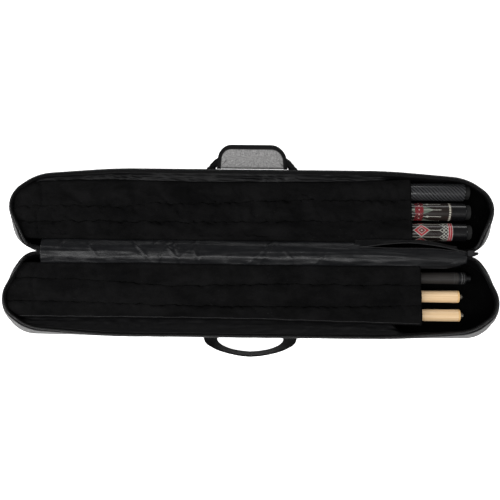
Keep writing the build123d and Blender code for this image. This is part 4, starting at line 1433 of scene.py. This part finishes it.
def soft_path(knots, steps):
    """Points on a smooth curve through knots, which are tuples of the same length."""
    out = []
    for n in range(len(knots) - 1):
        a, b = knots[n], knots[n + 1]
        before, after = knots[max(n - 1, 0)], knots[min(n + 2, len(knots) - 1)]
        for k in range(steps):
            t = k / steps
            out.append([
                0.5 * (2 * q + (r - p) * t + (2 * p - 5 * q + 4 * r - s) * t * t + (3 * q - p - 3 * r + s) * t**3)
                for p, q, r, s in zip(before, a, b, after)
            ])
    return out + [list(knots[-1])]


def make_near_handle():
    """Webbing loop that leaves the wall flat, then twists on to its edge in one long bend."""
    right = soft_path(NEAR_LOOP, 6)
    whole = right + [(-x, y, -turn) for x, y, turn in reversed(right[:-1])]
    path, lean = [], []
    for x, y, _ in whole:
        path.append(Vector((x * MM, y * MM, NEAR_AXIS.z)))
    for n, (_, _, turn) in enumerate(whole):
        heading = (path[min(n + 1, len(path) - 1)] - path[max(n - 1, 0)]).normalized()
        lean.append(Quaternion(heading, math.radians(abs(turn))) @ UP)
    strap = band("near_webbing_loop", path, lean, strap_section(STRAP_WIDTH, STRAP_THICKNESS))
    dress(strap, WEBBING, "near_handle", ["near_handle_strap"])


def on_slope(x, out, rise):
    """A far handle point from its level place: out from the axis, rise from the strap's middle."""
    level, steep = math.cos(FAR_SLOPE), math.sin(FAR_SLOPE)
    return FAR_AXIS + Vector((x, out * level - rise * steep, out * steep + rise * level))


WRAP_FREE_CORNERS = ((1, 27 * MM), (-1, 23 * MM))


def wrap_edge(inset):
    """The wrap's bound edge: up its right side, along the outer one and down the left."""
    half, outer = WRAP_HALF - inset, WRAP_OUTER - inset
    points = [(half, WRAP_INNER + (outer - WRAP_INNER) * k / 30) for k in range(10)]
    for sign, radius in WRAP_FREE_CORNERS:
        radius -= inset
        for k in range(15):
            turn = math.radians((0 if sign > 0 else 90) + 90 * k / 14)
            points.append((sign * (half - radius) + radius * math.cos(turn), outer - radius + radius * math.sin(turn)))
        if sign > 0:
            start, end = half - radius, -(half - (WRAP_FREE_CORNERS[1][1] - inset))
            points += [(start + (end - start) * k / 20, outer) for k in range(1, 20)]
    points += [(-half, WRAP_INNER + (outer - WRAP_INNER) * k / 30) for k in reversed(range(10))]
    return [(x * (1 - 0.07 * (out - WRAP_INNER) / (WRAP_OUTER - WRAP_INNER)), out) for x, out in points]


def wrap_outline(inset):
    """The wrap's whole outline: the bound edge and the fold along the strap."""
    inner = WRAP_INNER + inset
    edge = [(x, max(out, inner)) for x, out in wrap_edge(inset)]
    half = edge[0][0]
    return edge + [(-half + 2 * half * k / 24, inner) for k in range(1, 24)]


WRAP_BINDING_SHAPE = (
    (6.8, 3.15), (4.5, 3.3), (1.6, 2.9), (-0.2, 1.9), (-0.5, 0.6), (0.4, -0.1), (4.0, -0.1), (4.0, 0.4), (0.9, 0.6),
    (0.7, 1.8), (1.8, 2.2), (4.6, 2.7), (6.8, 2.7),
)  # inset and rise, in millimetres


def make_wrap_leaf(name, body, node, facing):
    """One padded leaf of the wrap with its bound edge. facing is 1 for the upper leaf."""
    base = facing * 1.6 * MM
    rows = []
    shape = (
        (0.6, 0.2, 0), (0.0, 0.8, 0), (0.3, 1.9, 0), (3.0, 2.7, 0), (6.4, 2.9, 0), (7.0, 3.0, 0), (9.0, 4.2, 1),
        (12.0, 4.9, 1), (15.5, 5.3, 1), (18.6, 5.4, 1),
    )
    for inset, rise, pad in shape:
        row = []
        for x, out in wrap_outline(inset * MM):
            soft = 0.35 * MM * wander(x / 0.018, out / 0.014, 40 + facing) * pad
            row.append(on_slope(x, out, base + facing * (rise * 0.78 * MM + soft)))
        rows.append(row)
    pad = quilt(name, rows, ring_columns=True)
    tidy_normals(pad, fill=True)
    dress(pad, WRAP_HEATHER, body, [node])
    rows = []
    for inset, rise in WRAP_BINDING_SHAPE:
        row = []
        for x, out in wrap_edge(inset * MM):
            uneven = 0.15 * wander(x / 0.012, out / 0.012, 44)
            row.append(on_slope(x, out, base + facing * (rise * 0.80 + uneven) * MM))
        rows.append(row)
    edge = tidy_normals(quilt(f"{name}_binding", rows, ring_rows=True, capped=True))
    dress(edge, BINDING, body)
    up = on_slope(0, 0, facing) - FAR_AXIS
    fold = [(-50 * MM + 100 * MM * k / 30, WRAP_INNER + 3 * MM) for k in range(31)]
    for label, path, rise in (("edge", wrap_edge(5.6 * MM), 2.72), ("fold", fold, 2.4)):
        line = [on_slope(x, out, base + facing * rise * MM) for x, out in path]
        dress(stitch_row(f"{name}_{label}_stitches", line, up.normalized()), THREAD, body)


FAR_STRAP = (
    (74, 1.5, -0.6, 72), (73.5, 3.5, 0.4, 72), (72, 7.0, 1.5, 68), (68.5, 11.5, 1.4, 56), (63, 15.5, 0.8, 35),
    (56, 18.5, 0.2, 12), (44, 21.5, 0, 0), (22, 23, 0, 0), (0, 23, 0, 0),
)  # x, out and rise in millimetres, and the twist in degrees


def make_far_handle():
    """Strap with its padded wrap, which lies out from the lid."""
    mirrored = [(-x, out, rise, -turn) for x, out, rise, turn in reversed(FAR_STRAP[:-1])]
    path, lean = [], []
    dense = [*FAR_STRAP, *mirrored]
    normal = on_slope(0, 0, 1) - FAR_AXIS
    for n in range(len(dense) - 1):
        for k in range(4):
            x, out, rise, turn = (a + (b - a) * k / 4 for a, b in zip(dense[n], dense[n + 1]))
            path.append(on_slope(x * MM, out * MM, rise * MM))
            lean.append(Quaternion(Vector((1, 0, 0)), math.radians(abs(turn))) @ normal)
    path.append(on_slope(dense[-1][0] * MM, dense[-1][1] * MM, dense[-1][2] * MM))
    lean.append(lean[-1].copy())
    strap = band("far_webbing_strap", path, lean, strap_section(STRAP_WIDTH * 0.72, STRAP_THICKNESS))
    dress(strap, WEBBING, "far_handle", ["far_handle_strap"])
    make_wrap_leaf("upper_wrap_pad", "far_handle", "handle_wrap_upper", 1)
    make_wrap_leaf("lower_wrap_pad", "wrap_leaf", "handle_wrap_lower", -1)
    low, high = WRAP_OUTER - 9.5 * MM, WRAP_OUTER - 1.2 * MM
    rows = []
    for inset, rise in ((0, 0.5), (0, 0.9), (0.4, 1.3), (2.0, 1.35)):
        inset *= MM
        box = rounded_rectangle(-42 * MM + inset, 42 * MM - inset, low + inset, high - inset, 1.5 * MM)
        rows.append([on_slope(x, out, rise * MM) for x, out in box])
    strip = quilt("wrap_hook_strip", rows, ring_columns=True)
    tidy_normals(strip, fill=True)
    dress(strip, HOOK_LOOP, "far_handle", ["handle_wrap_fastener"])


# ================================================================ hard pieces
def give(node, material):
    """Gives a CAD node its finish."""
    piece = bpy.data.objects[node]
    for slot in piece.material_slots:
        slot.material = material
    if not piece.material_slots:
        piece.data.materials.append(material)


def finish_cues():
    paints = {1: carbon_paint, 2: spear_paint, 3: diamond_paint}
    for number, paint in paints.items():
        cap = f"butt_{number}_cap"
        give(f"butt_{number}_body", lacquer(f"butt {number} body", cap, paint))
        give(cap, lacquer(f"butt {number} cap", cap, paint if number == 1 else cap_over(paint)))
        give(f"butt_{number}_bumper", moulded(f"butt {number} bumper", (0.005, 0.005, 0.005), 0.65, 900.0))
        give(f"butt_{number}_joint_pin", turned_metal(f"butt {number} pin", (0.66, 0.62, 0.52), 2.0 * MM))
    for number in (1, 2, 3):
        end = f"shaft_{number}_joint_end"
        if number == 1:
            give("shaft_1_wood", lacquer("shaft 1 body", end, carbon_shaft_paint, roughness=0.5, coat=0.15))
            give(end, lacquer("shaft 1 protector", end, protector_paint, roughness=0.3, coat=0.4))
        else:
            give(f"shaft_{number}_wood", lacquer(f"shaft {number} wood", end, maple_paint, roughness=0.4, coat=0.35))
            give(end, turned_metal(f"shaft {number} stub", (0.34, 0.32, 0.28), 1.5 * MM))
        ferrule = lacquer(f"shaft {number} ferrule", end, ferrule_paint, roughness=0.35, coat=0.3)
        give(f"shaft_{number}_ferrule_and_tip", ferrule)
    give("zip_slider", dark_metal("slider metal", (0.018, 0.018, 0.019), 0.5))
    give("zip_pull", dark_metal("pull metal", (0.018, 0.018, 0.019), 0.45))


# ================================================================ studio
def make_studio():
    mesh = bpy.data.meshes.new("studio_floor")
    mesh.from_pydata([(-6, -6, 0), (6, -6, 0), (6, 6, 0), (-6, 6, 0)], [], [(0, 1, 2, 3)])
    floor = bpy.data.objects.new("studio_floor", mesh)
    bpy.context.scene.collection.objects.link(floor)
    floor.location.z = -0.0004

    def surface(t, node):
        grain = t.clouds(solid_place(t), 4.0, 2.0)
        t.tint(node, t.blend(grain, (0.86, 0.86, 0.86), (0.88, 0.88, 0.88)))

    glow = {"Emission_Color": (1, 1, 1), "Emission_Strength": 0.95}
    lit_paper = finish_material("lit studio paper", surface, Roughness=0.9, **glow)
    mesh.materials.append(lit_paper)

    world = bpy.data.worlds.new("studio")
    bpy.context.scene.world = world
    world.use_nodes = True
    world.node_tree.nodes["Background"].inputs[0].default_value = (1, 1, 1, 1)
    world.node_tree.nodes["Background"].inputs[1].default_value = 0.16

    for name, place, size, power in (
        ("soft box above the front", (-0.3, -1.15, 1.9), (2.2, 0.7), 46.0),
        ("soft box at the back", (0.4, 2.3, 1.1), (2.4, 0.6), 14.0),
        ("soft box at the left", (-1.9, -0.1, 1.3), (0.7, 1.4), 26.0),
        ("soft box at the right", (2.0, 0.0, 1.5), (0.8, 1.4), 10.0),
    ):
        light = bpy.data.lights.new(name, "AREA")
        light.shape = "RECTANGLE"
        light.size, light.size_y = size
        light.energy = power
        lamp = bpy.data.objects.new(name, light)
        bpy.context.scene.collection.objects.link(lamp)
        lamp.location = place
        lamp.rotation_euler = (Vector((0, 0, 0)) - Vector(place)).to_track_quat("-Z", "Y").to_euler()


def make_camera():
    """Nearly straight down from the base side, with the slight turn of a hand-held camera."""
    lift, distance, turn = math.radians(79.5), 1.185, math.radians(-0.62)
    data = bpy.data.cameras.new("camera")
    data.lens = 49.3
    data.shift_x, data.shift_y = -0.0024, 0.0026
    camera = bpy.data.objects.new("camera", data)
    bpy.context.scene.collection.objects.link(camera)
    back = Vector((0, -math.cos(lift), math.sin(lift)))
    camera.location = HINGE + back * distance
    facing = (-back).to_track_quat("-Z", "Y")
    camera.rotation_mode = "QUATERNION"
    camera.rotation_quaternion = Quaternion(-back, turn) @ facing
    bpy.context.scene.camera = camera
    bpy.context.scene.view_settings.view_transform = "Standard"


make_camera()
make_studio()
HALVES = (("lid", 1, LID_SEAMS, LID_MOUTH), ("base", -1, BASE_SEAMS, BASE_MOUTH))
for half, side, _, _ in HALVES:
    make_shell(half, side)
    make_zip(half, side)
    patch_pieces(half, side)
for make in (make_linings, make_sleeves):
    for layout in HALVES:
        make(*layout)
make_hinge()
make_near_handle()
make_far_handle()
finish_cues()
